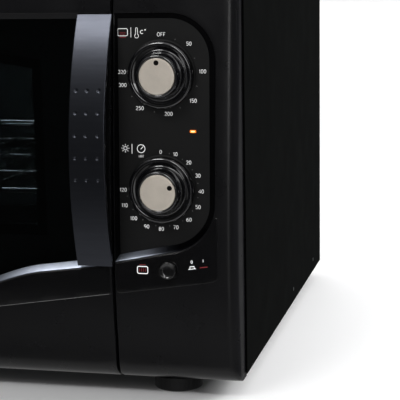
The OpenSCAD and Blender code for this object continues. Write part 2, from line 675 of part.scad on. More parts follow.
// Bow strap: an arc in side view, trimmed where it meets the front
handle_x = door_x1 - handle_w / 2 + 1.4;
handle_mid_z = 184;
handle_top_z = 301;
handle_low_z = 106;
handle_fixings = [handle_low_z + 6, handle_top_z - 5];
function handle_y(z) = front_y + handle_bow_r - sqrt(pow(handle_bow_r, 2) - pow(z - handle_mid_z, 2));
module handle() color("#5a5a64") difference() {
    along_x(handle_x - handle_w / 2, handle_x + handle_w / 2) difference() {
        intersection() {
            translate([front_y + handle_bow_r, handle_mid_z]) circle(handle_bow_r, $fn = 200);
            translate([front_y - 1, handle_low_z]) square([60, handle_top_z - handle_low_z]);
        }
        translate([front_y + handle_bow_r, handle_mid_z]) circle(handle_bow_r - handle_t, $fn = 200);
    }
    along_x(handle_x - handle_w, handle_x + handle_w) bow_outline(0, frame_y);
    for (z = handle_fixings) rod_y(handle_x, handle_y(z) + 1.5, bow_y(z) + 5, z, 2);
}
module handle_screws() color("#9fa2a5") for (z = handle_fixings) {
    rod_y(handle_x, handle_y(z) + 1.5, bow_y(z) + shell_t + 2, z, 2);
    rod_y(handle_x, bow_y(z) + shell_t + 0.3, bow_y(z) + shell_t + 2, z, 3.5);
}

catch_x = [door_x1 - 19, door_x1 - 12];
module striker_plate() color("#a9adb0")
    block([catch_x[0] - 2, plug_back_y - 1.8, 176], [catch_x[1] + 2, plug_back_y - 1, 208]);

module hinge_lugs() color("#3d3f42") for (z = hinge_heights, s = [-1, 1]) {
    z0 = z + s * 5;
    difference() {
        block([door_x0 + shell_t, lug_y0, z0 - 2.4], [hinge_x + 10, lug_y1, z0 + 2.4]);
        rod_z(hinge_x, hinge_y, z0 - 3, z0 + 3, hinge_pin_r + 0.05);
    }
}
module hinge_arms() color("#8d9194") for (z = hinge_heights) {
    difference() {
        union() {
            block([hinge_x - 3.4, hinge_y, z - arm_t / 2], [hinge_x + 3.4, frame_y + 1, z + arm_t / 2]);
            rod_z(hinge_x, hinge_y, z - arm_t / 2, z + arm_t / 2, 3.4);
        }
        rod_z(hinge_x, hinge_y, z - 3, z + 3, hinge_pin_r);
    }
    block([hinge_x - 2.8, frame_y + 1, z - 14], [hinge_x + 6, frame_y + 2.5, z + 14]);
}
module hinge_pins() color("#c6c9cc") for (z = hinge_heights) rod_z(hinge_x, hinge_y, z - 7.4, z + 7.4, hinge_pin_r);

module door_seal() color("#4c4e50") along_y(frame_y - 1.1, frame_y) difference() {
    translate([cavity_x0 - 8, cavity_floor - 8]) square([cavity_w + 16, cavity_h + 16]);
    translate([cavity_x0 - 2, cavity_floor - 2]) square([cavity_w + 4, cavity_h + 4]);
}
module magnetic_catch() color("#8b8f92")
    block([catch_x[0], frame_y - 1.1, 180], [catch_x[1], frame_y, 204]);

outer_cover();
base_plate();
rear_panel();
rear_spacers();
front_frame();
cavity_liner();
shelf_runners();
insulation();
heat_shield();
feet();
case_screws();
panel_bezel();
dial_plate();
panel_trim_band();
panel_inlay();
thermostat_body();
thermostat_shaft();
thermostat_knob();
thermostat_cap();
sensing_bulb();
timer_body();
timer_shaft();
timer_knob();
timer_cap();
browning_button();
button_switch();
indicator_lamp();
terminal_block();
cord_gland();
upper_element();
lower_element();
element_ceramics();
lamp_holder();
lamp_bulb();
lamp_cover();
spit_motor();
motor_shaft();
drive_socket();
spit_rod();
left_fork();
left_fork_screw();
right_fork();
right_fork_screw();
spit_support();
wire_shelf();
drip_tray();
door_shell();
outer_glass();
inner_door_panel();
inner_glass();
door_trim_band();
door_inlay();
handle();
handle_screws();
striker_plate();
hinge_lugs();
hinge_arms();
hinge_pins();
door_seal();
magnetic_catch();
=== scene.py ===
"""Looks of the countertop rotisserie oven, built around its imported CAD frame.

Lengths are in mm until they go into a mesh; the lights, floor and camera are in metres."""
import json
import math

import bmesh
import bpy
import numpy as np
from mathutils import Matrix, Vector
from mathutils.geometry import delaunay_2d_cdt


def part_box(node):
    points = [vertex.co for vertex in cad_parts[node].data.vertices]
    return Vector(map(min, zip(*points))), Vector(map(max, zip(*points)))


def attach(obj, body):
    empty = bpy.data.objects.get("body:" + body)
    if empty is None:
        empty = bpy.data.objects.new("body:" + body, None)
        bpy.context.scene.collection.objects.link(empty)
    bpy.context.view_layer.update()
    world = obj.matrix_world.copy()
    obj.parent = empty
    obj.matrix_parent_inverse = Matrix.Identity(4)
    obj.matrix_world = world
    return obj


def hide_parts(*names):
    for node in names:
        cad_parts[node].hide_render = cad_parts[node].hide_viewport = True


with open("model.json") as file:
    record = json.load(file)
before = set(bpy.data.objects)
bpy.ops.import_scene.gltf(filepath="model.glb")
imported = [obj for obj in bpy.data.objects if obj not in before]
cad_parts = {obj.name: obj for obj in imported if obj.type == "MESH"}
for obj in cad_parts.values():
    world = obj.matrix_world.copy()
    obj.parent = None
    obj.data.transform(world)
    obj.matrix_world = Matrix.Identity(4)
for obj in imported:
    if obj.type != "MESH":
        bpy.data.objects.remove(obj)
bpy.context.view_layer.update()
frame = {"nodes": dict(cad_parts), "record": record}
MM = 0.001

# ---- Places that the CAD gives ----


def box_mm(node):
    """Lowest and highest corner of a CAD node."""
    low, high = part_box(node)
    return low / MM, high / MM


def middle(node):
    """Centre of a CAD node seen from the front, as x and z."""
    low, high = box_mm(node)
    return (low.x + high.x) / 2, (low.z + high.z) / 2


DOOR_LO, DOOR_HI = box_mm("door_shell")
PANEL_LO, PANEL_HI = box_mm("panel_bezel")
PLATE_LO, PLATE_HI = box_mm("dial_plate")
GLASS_LO, GLASS_HI = box_mm("outer_glass")
STRAP_LO, STRAP_HI = box_mm("handle")
_, COVER_HI = box_mm("outer_cover")
BUTTON_LO, BUTTON_HI = box_mm("browning_button")
_, HINGE_HI = box_mm("hinge_lugs")
PIN_LO, PIN_HI = box_mm("hinge_pins")
FOOT_LO, FOOT_HI = box_mm("feet")
DIAL_X, THERMO_Z = middle("thermostat_cap")
_, TIMER_Z = middle("timer_cap")
BUTTON_X, BUTTON_Z = middle("browning_button")
LAMP_X, LAMP_Z = middle("indicator_lamp")
SHELL_Z0 = PANEL_LO.z

# The front bows: it stands furthest forward at BELLY_Z and draws in above and below.
BELLY_Y = PANEL_LO.y
BELLY_Z = 95
BOW_RISE = 290
BOW_TOP_IN = 18.5
BOW_FOOT_IN = 5.5
BOTTOM_R = 16
CASE_R = 14.5
CASE_TOP = COVER_HI.z - 1.5

# The window and the dials lie on one leaning plane behind the bow.
RECESS_SLOPE = 10 / 190
RECESS_Z = 110
RECESS_Y = GLASS_LO.y + (RECESS_Z - GLASS_LO.z) * RECESS_SLOPE
RECESS_TOP = 301


def ease(t):
    """Smooth step from 0 to 1."""
    return (1 - np.cos(np.pi * np.clip(t, 0, 1))) / 2


def bow_y(z):
    """Front of the bowed mouldings at height z."""
    z = np.asarray(z, float)
    above = BELLY_Y + BOW_TOP_IN * ease((z - BELLY_Z) / BOW_RISE)
    below = BELLY_Y + BOW_FOOT_IN * ease((BELLY_Z - z) / (BELLY_Z - SHELL_Z0))
    return np.where(z > BELLY_Z, above, below)


def recess_y(z):
    """Front of the leaning recess plane at height z."""
    return RECESS_Y + (np.asarray(z, float) - RECESS_Z) * RECESS_SLOPE


# ---- Materials ----


class Nodes:
    """Node tree of a material or of the world, built node by node."""

    def __init__(self, owner):
        owner.use_nodes = True
        self.tree = owner.node_tree

    def feed(self, socket, value):
        """Gives a socket a constant or another node's output."""
        if isinstance(value, bpy.types.NodeSocket):
            self.tree.links.new(value, socket)
        else:
            socket.default_value = value

    def add(self, kind, inputs, **settings):
        """New node of that kind, with its inputs fed and its settings made."""
        node = self.tree.nodes.new("ShaderNode" + kind)
        for name, value in settings.items():
            setattr(node, name, value)
        for name, value in inputs.items():
            self.feed(node.inputs[name], value)
        return node

    def result(self, output, kind, inputs, **settings):
        """That output of a new node."""
        return self.add(kind, inputs, **settings).outputs[output]

    def noise(self, place, scale, detail):
        """Noise from 0 to 1 at each place."""
        return self.result("Fac", "TexNoise", {"Vector": place, "Scale": scale, "Detail": detail})

    def mixed(self, factor, *colours):
        """The first colour where the factor is 0 and the second where it is 1."""
        a, b = (c if isinstance(c, bpy.types.NodeSocket) else (*c, 1) for c in colours)
        return self.result("Result", "Mix", {"Factor": factor, "A": a, "B": b}, data_type="RGBA")

    def ranged(self, value, low, high, to_low, to_high, **settings):
        """The value with low to high stretched over to_low to to_high."""
        limits = {"From Min": low, "From Max": high, "To Min": to_low, "To Max": to_high}
        return self.result("Result", "MapRange", {"Value": value, **limits}, **settings)


# Near-black that the painted reflection falloff mixes the trim's colour towards
PAINTED_REFLECTION_DARK = (0.002, 0.002, 0.003)


def material(name, base, rough, metal=0.0, specular=0.5, coat=0.0, coat_rough=0.08, sheen=0.0,
             grain=(900, 0.15, 0.04), mottle=(35, 0.12), rough_shift=0.08, stretch=(1, 1, 1),
             speckle=None, glow=(0, 0, 0, 0), fade=None):
    """Procedural finish with slow colour mottling (scale, share), uneven roughness and a fine bump grain
    (scale, strength, height in mm). It may have speckles (scale, colour), a glow (colour and strength) and a
    painted reflection falloff that darkens the colour along the width of the oven, as a list of (x, share of
    the colour)."""
    made = bpy.data.materials.new(name)
    nodes = Nodes(made)
    place = nodes.result("Object", "TexCoord", {})
    surface = nodes.result("Vector", "Mapping", {"Scale": stretch, "Vector": place})
    dark, light = ([min(1, c * (1 + sign * mottle[1])) for c in base] for sign in (-1, 1))
    colour = nodes.mixed(nodes.ranged(nodes.noise(surface, mottle[0], 4), 0.35, 0.65, 0, 1), dark, light)
    if speckle:
        cells = nodes.result("Distance", "TexVoronoi", {"Scale": speckle[0], "Vector": surface})
        colour = nodes.mixed(nodes.ranged(cells, 0.16, 0.1, 0, 1), colour, speckle[1])
    # Painted reflection falloff: the colour is mixed towards near-black along x
    if fade:
        first, last = fade[0][0], fade[-1][0]
        x = nodes.result("X", "SeparateXYZ", {"Vector": place})
        ramp = nodes.add("ValToRGB", {"Fac": nodes.ranged(x, first * MM, last * MM, 0, 1)})
        while len(ramp.color_ramp.elements) < len(fade):
            ramp.color_ramp.elements.new(1.0)
        for stop, (x, share) in zip(ramp.color_ramp.elements, fade):
            stop.position = (x - first) / (last - first)
            stop.color = (share, share, share, 1)
        colour = nodes.mixed(ramp.outputs["Color"], PAINTED_REFLECTION_DARK, colour)
    low, high = max(0.02, rough - rough_shift), min(1, rough + rough_shift)
    bump = {"Height": nodes.noise(surface, grain[0], 3), "Strength": grain[1], "Distance": grain[2] * MM}
    finish = {
        "Base Color": colour, "Metallic": metal, "Specular IOR Level": specular, "Sheen Weight": sheen,
        "Roughness": nodes.ranged(nodes.noise(surface, mottle[0] * 2.3, 5), 0.3, 0.7, low, high),
        "Normal": nodes.result("Normal", "Bump", bump), "Coat Weight": coat, "Coat Roughness": coat_rough}
    if any(glow):
        finish |= {"Emission Color": (*glow[:3], 1), "Emission Strength": glow[3]}
    for socket, value in finish.items():
        nodes.feed(nodes.tree.nodes["Principled BSDF"].inputs[socket], value)
    return made


def tinted_glass(name, tint, rough):
    """Thin tinted pane: what is behind it shows darkened, with a fresnel reflection on top."""
    made = bpy.data.materials.new(name)
    nodes = Nodes(made)
    nodes.tree.nodes.remove(nodes.tree.nodes["Principled BSDF"])
    smear = nodes.noise(nodes.result("Object", "TexCoord", {}), 9, 5)
    shade = nodes.mixed(smear, [c * 0.93 for c in tint], [c * 1.07 for c in tint])
    clear = nodes.result("BSDF", "BsdfTransparent", {"Color": shade})
    gloss = nodes.result("BSDF", "BsdfGlossy", {"Roughness": nodes.ranged(smear, 0, 1, rough, rough * 2.4)})
    fresnel = nodes.result("Fac", "Fresnel", {"IOR": 1.38})
    both = nodes.result("Shader", "MixShader", {0: fresnel, 1: clear, 2: gloss})
    nodes.feed(nodes.tree.nodes["Material Output"].inputs["Surface"], both)
    return made


# Painted reflection: how much of its silver the trim shows at each x. It is dimmer at the left and darkens
# into the recess's right side, where the band's reflection of the lights falls off.
BAND_PAINTED_REFLECTION = [(60, 0.22), (94, 0.26), (104, 0.48), (114, 0.72), (125, 0.9), (136, 1.0), (160, 1.0),
               (197, 0.66), (208, 0.66), (216, 0.45), (224, 0.15), (229, 0.06), (234, 0.02), (242, 0.0)]
LOOKS = {}


def look(name, *base_and_rough, **finish):
    """Finish for the material slot of that name."""
    LOOKS[name] = material(name, *base_and_rough, **finish)


look("cover_black", (0.0012, 0.0015, 0.0014), 0.6, specular=0.04, grain=(1500, 0.35, 0.05),
     mottle=(14, 0.05), rough_shift=0.03)
look("case_steel", (0.022, 0.023, 0.024), 0.55, specular=0.3, grain=(1300, 0.3, 0.05))
look("cavity_enamel", (0.085, 0.095, 0.1), 0.3, coat=0.4, grain=(260, 0.25, 0.12),
     speckle=(420, (0.16, 0.165, 0.17)))
look("bright_steel", (0.62, 0.62, 0.63), 0.22, metal=1, grain=(500, 0.12, 0.03), stretch=(0.2, 1, 1),
     mottle=(60, 0.08))
look("zinc_steel", (0.48, 0.5, 0.51), 0.38, metal=1, grain=(700, 0.2, 0.03),
     speckle=(300, (0.4, 0.42, 0.44)))
look("wool", (0.5, 0.46, 0.36), 0.95, specular=0.1, grain=(260, 0.9, 0.8), stretch=(1, 0.3, 1),
     mottle=(90, 0.25), sheen=0.3)
look("foot_black", (0.012, 0.0122, 0.0128), 0.5, specular=0.35, grain=(1200, 0.4, 0.06))
look("shell_black", (0.0058, 0.0058, 0.0068), 0.3, specular=0.4, grain=(1700, 0.12, 0.02), mottle=(20, 0.08),
     rough_shift=0.04)
look("dial_black", (0.0072, 0.0074, 0.0076), 0.58, specular=0.25, grain=(2200, 0.3, 0.03), mottle=(22, 0.07))
# The trim's silver darkens along x with a painted reflection falloff
look("trim_silver", (0.76, 0.83, 1.0), 0.36, metal=0.85, specular=0.1, grain=(1900, 0.2, 0.02),
     mottle=(140, 0.05), fade=BAND_PAINTED_REFLECTION)
look("inlay_black", (0.004, 0.004, 0.0045), 0.1, coat=0.5, coat_rough=0.03,
     grain=(300, 0.03, 0.02), mottle=(20, 0.1), rough_shift=0.03)
look("knob_black", (0.003, 0.003, 0.0042), 0.1, specular=0.9, coat=1.0, coat_rough=0.04,
     grain=(500, 0.05, 0.02), mottle=(60, 0.1), rough_shift=0.03)
look("cap_champagne", (0.74, 0.67, 0.58), 0.42, metal=0.3, grain=(2400, 0.35, 0.02),
     mottle=(120, 0.04))
look("control_zinc", (0.42, 0.44, 0.46), 0.42, metal=1, grain=(600, 0.25, 0.03),
     speckle=(260, (0.35, 0.37, 0.39)))
look("copper", (0.6, 0.31, 0.17), 0.3, metal=1, grain=(500, 0.15, 0.03), mottle=(90, 0.2))
look("button_black", (0.006, 0.006, 0.0065), 0.16, specular=0.55, coat=0.8, coat_rough=0.05,
     grain=(800, 0.1, 0.02), rough_shift=0.04)
look("lamp_amber", (1.0, 0.3, 0.03), 0.2, grain=(1500, 0.2, 0.05), mottle=(900, 0.2),
     glow=(1.0, 0.16, 0.01, 0.9))
look("ceramic", (0.74, 0.71, 0.64), 0.32, coat=0.3, grain=(420, 0.2, 0.05),
     speckle=(500, (0.6, 0.57, 0.5)))
look("gland_black", (0.014, 0.014, 0.0145), 0.55, specular=0.3, grain=(1100, 0.4, 0.05))
look("element_steel", (0.14, 0.13, 0.125), 0.46, metal=0.9, grain=(420, 0.4, 0.05), mottle=(28, 0.4),
     rough_shift=0.15)
look("inner_black", (0.011, 0.0115, 0.012), 0.34, specular=0.45, coat=0.2, grain=(900, 0.2, 0.04))
look("tray_enamel", (0.016, 0.016, 0.017), 0.24, coat=0.5, grain=(330, 0.2, 0.08),
     speckle=(500, (0.06, 0.06, 0.062)))
look("handle_steel", (0.053, 0.0565, 0.068), 0.3, metal=0.9, grain=(2600, 0.3, 0.008),
     stretch=(0.06, 1, 1), mottle=(420, 0.05), rough_shift=0.02)
look("seal_grey", (0.1, 0.1, 0.105), 0.7, specular=0.3, grain=(800, 0.5, 0.08))
LOOKS["door_glass"] = tinted_glass("door_glass", (0.58, 0.62, 0.63), 0.02)
LOOKS["bulb_glass"] = tinted_glass("bulb_glass", (0.9, 0.9, 0.86), 0.03)

# These finishes belong to single pieces
# Painted shade: near-black matte finish for the strip on the recess wall, standing for the shade inside the
# dial recess
RECESS_PAINTED_SHADE = material("recess_painted_shade", (0.002, 0.002, 0.0024), 0.7, specular=0.03, grain=(1700, 0.12, 0.02))
# White print with a painted glow: it emits a little light, though it is no lamp
PRINT_WHITE_PAINTED_GLOW = material("print_white_painted_glow", (0.95, 0.95, 0.95), 0.5, grain=(1800, 0.2, 0.01), mottle=(300, 0.06),
                       glow=(1.0, 1.0, 1.0, 0.3))
# Grey print for the dial ticks, also used for the painted highlight line along the door inlay's foot
GREY_PRINT_AND_PAINTED_HIGHLIGHT = material("grey_print_and_painted_highlight", (0.2, 0.2, 0.2), 0.5, grain=(1800, 0.2, 0.01), mottle=(300, 0.06))
PRINT_RED = material("print_red", (0.3, 0.02, 0.025), 0.5, grain=(1800, 0.2, 0.01), mottle=(300, 0.1))
DOT_DARK = material("dot_dark", (0.004, 0.003, 0.0025), 0.5, specular=0.1, grain=(1500, 0.3, 0.02))
LAMP_CORE = material("lamp_core", (1.0, 0.7, 0.3), 0.3, grain=(1500, 0.2, 0.02), mottle=(900, 0.1),
                     glow=(1.0, 0.55, 0.16, 2.6))

# Each CAD node gets the look of its material slot
for node in frame["record"]["subparts"]:
    cad = frame["nodes"][node["node"]]
    cad.data.materials.clear()
    cad.data.materials.append(LOOKS[node["material_slot"]])

# ---- Mesh helpers ----


def placed(name, data):
    """New object in the scene."""
    obj = bpy.data.objects.new(name, data)
    bpy.context.scene.collection.objects.link(obj)
    return obj


def add_piece(name, shape, body, finish, stands_for=(), crease=35):
    """Closed piece that moves with that body. Its finish is a slot's name or a material that only it has."""
    verts, faces = shape
    mesh = bpy.data.meshes.new(name)
    faces = [tuple(int(i) for i in face) for face in faces]
    mesh.from_pydata([tuple(c * MM for c in v) for v in verts], [], faces)
    built = bmesh.new()
    built.from_mesh(mesh)
    bmesh.ops.remove_doubles(built, verts=built.verts, dist=1e-6)
    bmesh.ops.recalc_face_normals(built, faces=built.faces)
    if built.calc_volume(signed=True) < 0:
        bmesh.ops.reverse_faces(built, faces=built.faces)
    built.to_mesh(mesh)
    built.free()
    mesh.polygons.foreach_set("use_smooth", [True] * len(mesh.polygons))
    mesh.set_sharp_from_angle(angle=math.radians(crease))
    obj = placed(name, mesh)
    mesh.materials.append(LOOKS.get(finish, finish))
    if stands_for:
        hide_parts(*stands_for)
    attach(obj, body)
    return obj


def edge_drop(distance, radius):
    """How far a rounded edge of that radius lies behind the face, at a distance from the edge."""
    inside = radius - np.clip(distance, 0, radius)
    return radius - np.sqrt(np.maximum(0, radius**2 - inside**2))


def loop_distance(points, loop):
    """Distance of points from a closed outline."""
    best = np.full(len(points), 1e9)
    for a, b in zip(loop, np.roll(loop, -1, axis=0)):
        run = b - a
        length = run @ run
        if length < 1e-12:
            continue
        along = np.clip(((points - a) @ run) / length, 0, 1)
        best = np.minimum(best, np.linalg.norm(points - a - along[:, None] * run, axis=1))
    return best


def inside_loop(points, loop):
    """Which points lie inside a closed outline."""
    x, z = points[:, 0], points[:, 1]
    inside = np.zeros(len(points), bool)
    for (x0, z0), (x1, z1) in zip(loop, np.roll(loop, -1, axis=0)):
        if z0 == z1:
            continue
        crosses = ((z0 > z) != (z1 > z)) & (x < (x1 - x0) * (z - z0) / (z1 - z0) + x0)
        inside ^= crosses
    return inside


def area(loop):
    """Area of a closed outline, negative if it runs clockwise."""
    x, z = loop[:, 0], loop[:, 1]
    return 0.5 * np.sum(x * np.roll(z, -1) - z * np.roll(x, -1))


def tidied(loop, least=0.05):
    """Closed outline without points that nearly coincide."""
    kept = [loop[0]]
    for p in loop[1:]:
        if np.linalg.norm(p - kept[-1]) > least:
            kept.append(p)
    while np.linalg.norm(kept[-1] - kept[0]) < least:
        kept.pop()
    return np.array(kept)


def offset_loop(loop, distance):
    """Points at that distance to the left of each point of a closed outline, mitred at its corners."""
    before, after = loop - np.roll(loop, 1, axis=0), np.roll(loop, -1, axis=0) - loop
    before /= np.linalg.norm(before, axis=1)[:, None]
    after /= np.linalg.norm(after, axis=1)[:, None]
    n0 = np.stack([-before[:, 1], before[:, 0]], 1)
    n1 = np.stack([-after[:, 1], after[:, 0]], 1)
    middle = n0 + n1
    middle /= np.maximum(1e-9, np.linalg.norm(middle, axis=1))[:, None]
    return loop + middle * (distance / np.maximum(0.35, np.sum(middle * n0, axis=1)))[:, None]


def dense(points, step):
    """A closed outline with extra points, none further apart than step."""
    out = []
    for a, b in zip(points, np.roll(points, -1, axis=0)):
        count = max(1, math.ceil(np.linalg.norm(b - a) / step))
        out += [a + (b - a) * i / count for i in range(count)]
    return np.array(out)


def triangles(loops, extra):
    """Triangles that fill the first outline, less the others, through the extra points."""
    coords, edges = [], []
    for loop in loops:
        first = len(coords)
        coords += [tuple(p) for p in loop]
        edges += [(first + i, first + (i + 1) % len(loop)) for i in range(len(loop))]
    coords += [tuple(p) for p in extra]
    verts, _, faces, origin, _, _ = delaunay_2d_cdt([Vector(c) for c in coords], edges, [], 0, 1e-5)
    verts = np.array([tuple(v) for v in verts])
    faces = np.array(faces)
    where = {}
    for new, olds in enumerate(origin):
        for old in olds:
            where[old] = new
    centres = verts[faces].mean(axis=1)
    keep = np.ones(len(faces), bool)
    start = 0
    for k, loop in enumerate(loops):
        found = verts[[where[start + i] for i in range(len(loop))]]
        keep &= inside_loop(centres, found) == (k == 0)
        start += len(loop)
    return verts, faces[keep], where


def grid_points(loops, step, clear):
    """Grid over the first outline, less the others, that stays clear of each by its own distance."""
    low, high = loops[0].min(0), loops[0].max(0)
    counts = [max(2, round((high[k] - low[k]) / step)) for k in (0, 1)]
    axes = [np.linspace(low[k], high[k], counts[k] + 1)[1:-1] for k in (0, 1)]
    points = np.stack(np.meshgrid(*axes), -1).reshape(-1, 2)
    keep = np.ones(len(points), bool)
    for k, (loop, gap) in enumerate(zip(loops, clear)):
        keep &= (loop_distance(points, loop) > gap) & (inside_loop(points, loop) == (k == 0))
    return points[keep]


ROUND_ROWS = [math.radians(a) for a in (72, 54, 36, 18, 0)]


def faced_solid(loops, rounds, face, back, step=5.0, wall=(), more=None):
    """Closed solid: a front face over the first outline with holes, rounded towards every outline, and
    flat behind. The first hole's wall runs through rings, given as (outline, heights), on its way back."""
    loops = [loop if (area(loop) > 0) == (k == 0) else loop[::-1] for k, loop in enumerate(loops)]
    extra = []
    for k, (loop, radius) in enumerate(zip(loops, rounds)):
        for a in ROUND_ROWS:
            distance = radius * (1 - math.sin(a))
            if distance < 0.02:
                continue
            points = offset_loop(loop, distance)
            keep = loop_distance(points, loop) > 0.97 * distance
            for other, (rim, rim_r) in enumerate(zip(loops, rounds)):
                if other != k:
                    keep &= loop_distance(points, rim) > rim_r + 0.25
                    keep &= inside_loop(points, rim) == (other == 0)
            extra.append(points[keep])
    extra.append(grid_points(loops, step, [r + step * 0.4 for r in rounds]))
    if more is not None:
        extra.append(more)
    flat, faces, where = triangles(loops, np.concatenate(extra))
    depth = face(flat)
    for loop, radius in zip(loops[1:], rounds[1:]):
        if radius:
            depth = depth + edge_drop(loop_distance(flat, loop), radius)
    verts = [(p[0], y, p[1]) for p, y in zip(flat, depth)]
    faces = [tuple(f) for f in faces]

    def on_back(outline):
        return np.full(len(outline), back, float)

    start = 0
    last_rings = []
    for k, loop in enumerate(loops):
        ring = [where[start + i] for i in range(len(loop))]
        start += len(loop)
        rings = [(r[::-1] if area(r) > 0 else r, heights) for r, heights in wall] if k == 1 else []
        last = rings[-1][0] if rings else loop
        for outline, heights in [*rings, (last, on_back)]:
            new = list(range(len(verts), len(verts) + len(outline)))
            verts += [(p[0], y, p[1]) for p, y in zip(outline, heights(outline))]
            for i in range(len(ring)):
                j = (i + 1) % len(ring)
                faces.append((ring[i], ring[j], new[j], new[i]))
            ring = new
        last_rings.append((last, ring))
    _, rear, where = triangles([outline for outline, _ in last_rings], np.zeros((0, 2)))
    match, start = {}, 0
    for outline, ring in last_rings:
        for i in range(len(outline)):
            match[where[start + i]] = ring[i]
        start += len(outline)
    return verts, faces + [tuple(match[i] for i in f[::-1]) for f in rear]


def plate(loops, base, rims, behind, step):
    """Closed plate with rounded edges: its face lies on the surface base and its back that far behind."""
    def face(points):
        return base(points[:, 1]) + edge_drop(loop_distance(points, loops[0]), rims[0])

    verts, faces = faced_solid(loops, rims, face, 0, step)
    count = sum(len(loop) for loop in loops)
    verts[-count:] = [(x, float(base(z)) + behind, z) for x, _, z in verts[-count:]]
    return verts, faces


def cut(obj, boxes):
    """Cuts boxes out of a closed piece."""
    for low, high in boxes:
        mesh = bpy.data.meshes.new("cutter")
        shape = bmesh.new()
        bmesh.ops.create_cube(shape, size=1)
        for v in shape.verts:
            v.co = Vector([(low[k] + (v.co[k] + 0.5) * (high[k] - low[k])) * MM for k in range(3)])
        shape.to_mesh(mesh)
        shape.free()
        tool = placed("cutter", mesh)
        step = obj.modifiers.new("cut", "BOOLEAN")
        step.operation = "DIFFERENCE"
        step.solver = "MANIFOLD"
        step.object = tool
        bpy.context.view_layer.update()
        graph = bpy.context.evaluated_depsgraph_get()
        done = bpy.data.meshes.new_from_object(obj.evaluated_get(graph))
        obj.modifiers.clear()
        obj.data = done
        bpy.data.objects.remove(tool)


def turned(profile, centre, steps=96):
    """Solid of revolution about an axis along Y. The profile is (radius, distance in front of centre)."""
    verts, faces, rings = [], [], []
    for r, h in profile:
        if r < 1e-6:
            rings.append([len(verts)])
            verts.append((centre[0], centre[1] - h, centre[2]))
            continue
        rings.append(list(range(len(verts), len(verts) + steps)))
        for i in range(steps):
            a = 2 * math.pi * i / steps
            verts.append((centre[0] + r * math.sin(a), centre[1] - h, centre[2] + r * math.cos(a)))
    for a, b in zip(rings, rings[1:]):
        for i in range(steps):
            j = (i + 1) % steps
            if len(a) == 1:
                faces.append((a[0], b[j], b[i]))
            elif len(b) == 1:
                faces.append((a[i], a[j], b[0]))
            else:
                faces.append((a[i], a[j], b[j], b[i]))
    return verts, faces


def corner(a, b, c, radius, steps):
    """Points that round off the corner at b between its neighbours."""
    a, b, c = (np.array(p, float) for p in (a, b, c))
    la, lc = np.linalg.norm(a - b), np.linalg.norm(c - b)
    r = min(radius, 0.45 * la, 0.45 * lc)
    if r < 1e-6:
        return [b]
    p, q = b + (a - b) / la * r, b + (c - b) / lc * r
    return [(1 - t) ** 2 * p + 2 * t * (1 - t) * b + t * t * q for t in np.linspace(0, 1, steps)]


def smooth_profile(points, radius=0.6, steps=5):
    """Open profile with its corners rounded off."""
    out = [points[0]]
    for a, b, c in zip(points, points[1:], points[2:]):
        out += corner(a, b, c, radius, steps)
    return out + [points[-1]]


def rounded(points, radii, steps=5):
    """Closed outline with its corners rounded off, each by its own radius."""
    around = zip(points[-1:] + points[:-1], points, points[1:] + points[:1], radii)
    return np.array([p for a, b, c, r in around for p in corner(a, b, c, r, steps)])


def box_outline(x0, z0, x1, z1, radius):
    return rounded([(x0, z0), (x1, z0), (x1, z1), (x0, z1)], [radius] * 4)


def bend(cx, cz, rx, rz, a0, a1, steps=12):
    """Points on an ellipse, by angle from the x axis."""
    angles = np.radians(np.linspace(a0, a1, steps))
    return np.stack([cx + rx * np.cos(angles), cz + rz * np.sin(angles)], 1)


def arc(cx, cz, r, a0, a1, steps):
    return bend(cx, cz, r, r, a0, a1, steps)


def upright(x, heights):
    """Points up or down a vertical line."""
    return np.stack([np.full(len(heights), x), heights], 1)


def level(xs, z):
    """Points along a horizontal line."""
    return np.stack([xs, np.full(len(xs), z)], 1)


def tube(rings, size, closed=False):
    """Faces that join rings of that many points. It has two caps unless the last ring meets the first."""
    faces = []
    for i in range(rings if closed else rings - 1):
        j = (i + 1) % rings
        for k in range(size):
            m = (k + 1) % size
            faces.append((i * size + k, i * size + m, j * size + m, j * size + k))
    if not closed:
        faces += [tuple(range(size))[::-1], tuple((rings - 1) * size + k for k in range(size))]
    return faces


def merge(parts):
    """One shape out of several."""
    verts, faces = [], []
    for v, f in parts:
        first = len(verts)
        verts += list(v)
        faces += [tuple(i + first for i in face) for face in f]
    return verts, faces


# ---- Outlines on the front ----

SIDE_R = 8.0
RIM = 1.6
RIM_R = 0.7
WALL_RUN = 4.2
BAND_H = 5.4
WINDOW_X0 = DOOR_LO.x + 26
WINDOW_LOW = 76
WINDOW_R = 24
SWEEP_X0, SWEEP_X1 = 40, 130
SWEEP_RISE = 16.7
SWEEP_SLOPE = 0.13
WINDOW_LOW_COUNT = 80


def sweep(x):
    """Lower edge of the window: level, then sweeping up to the right."""
    rise = SWEEP_RISE * ease((x - SWEEP_X0) / (SWEEP_X1 - SWEEP_X0))
    return WINDOW_LOW + rise + SWEEP_SLOPE * np.maximum(0, x - SWEEP_X0)


def widening(xs):
    """How far the band under the window has grown, from 0 to 1."""
    return ease((xs - SWEEP_X0) / (SWEEP_X1 - SWEEP_X0) + 0.2)


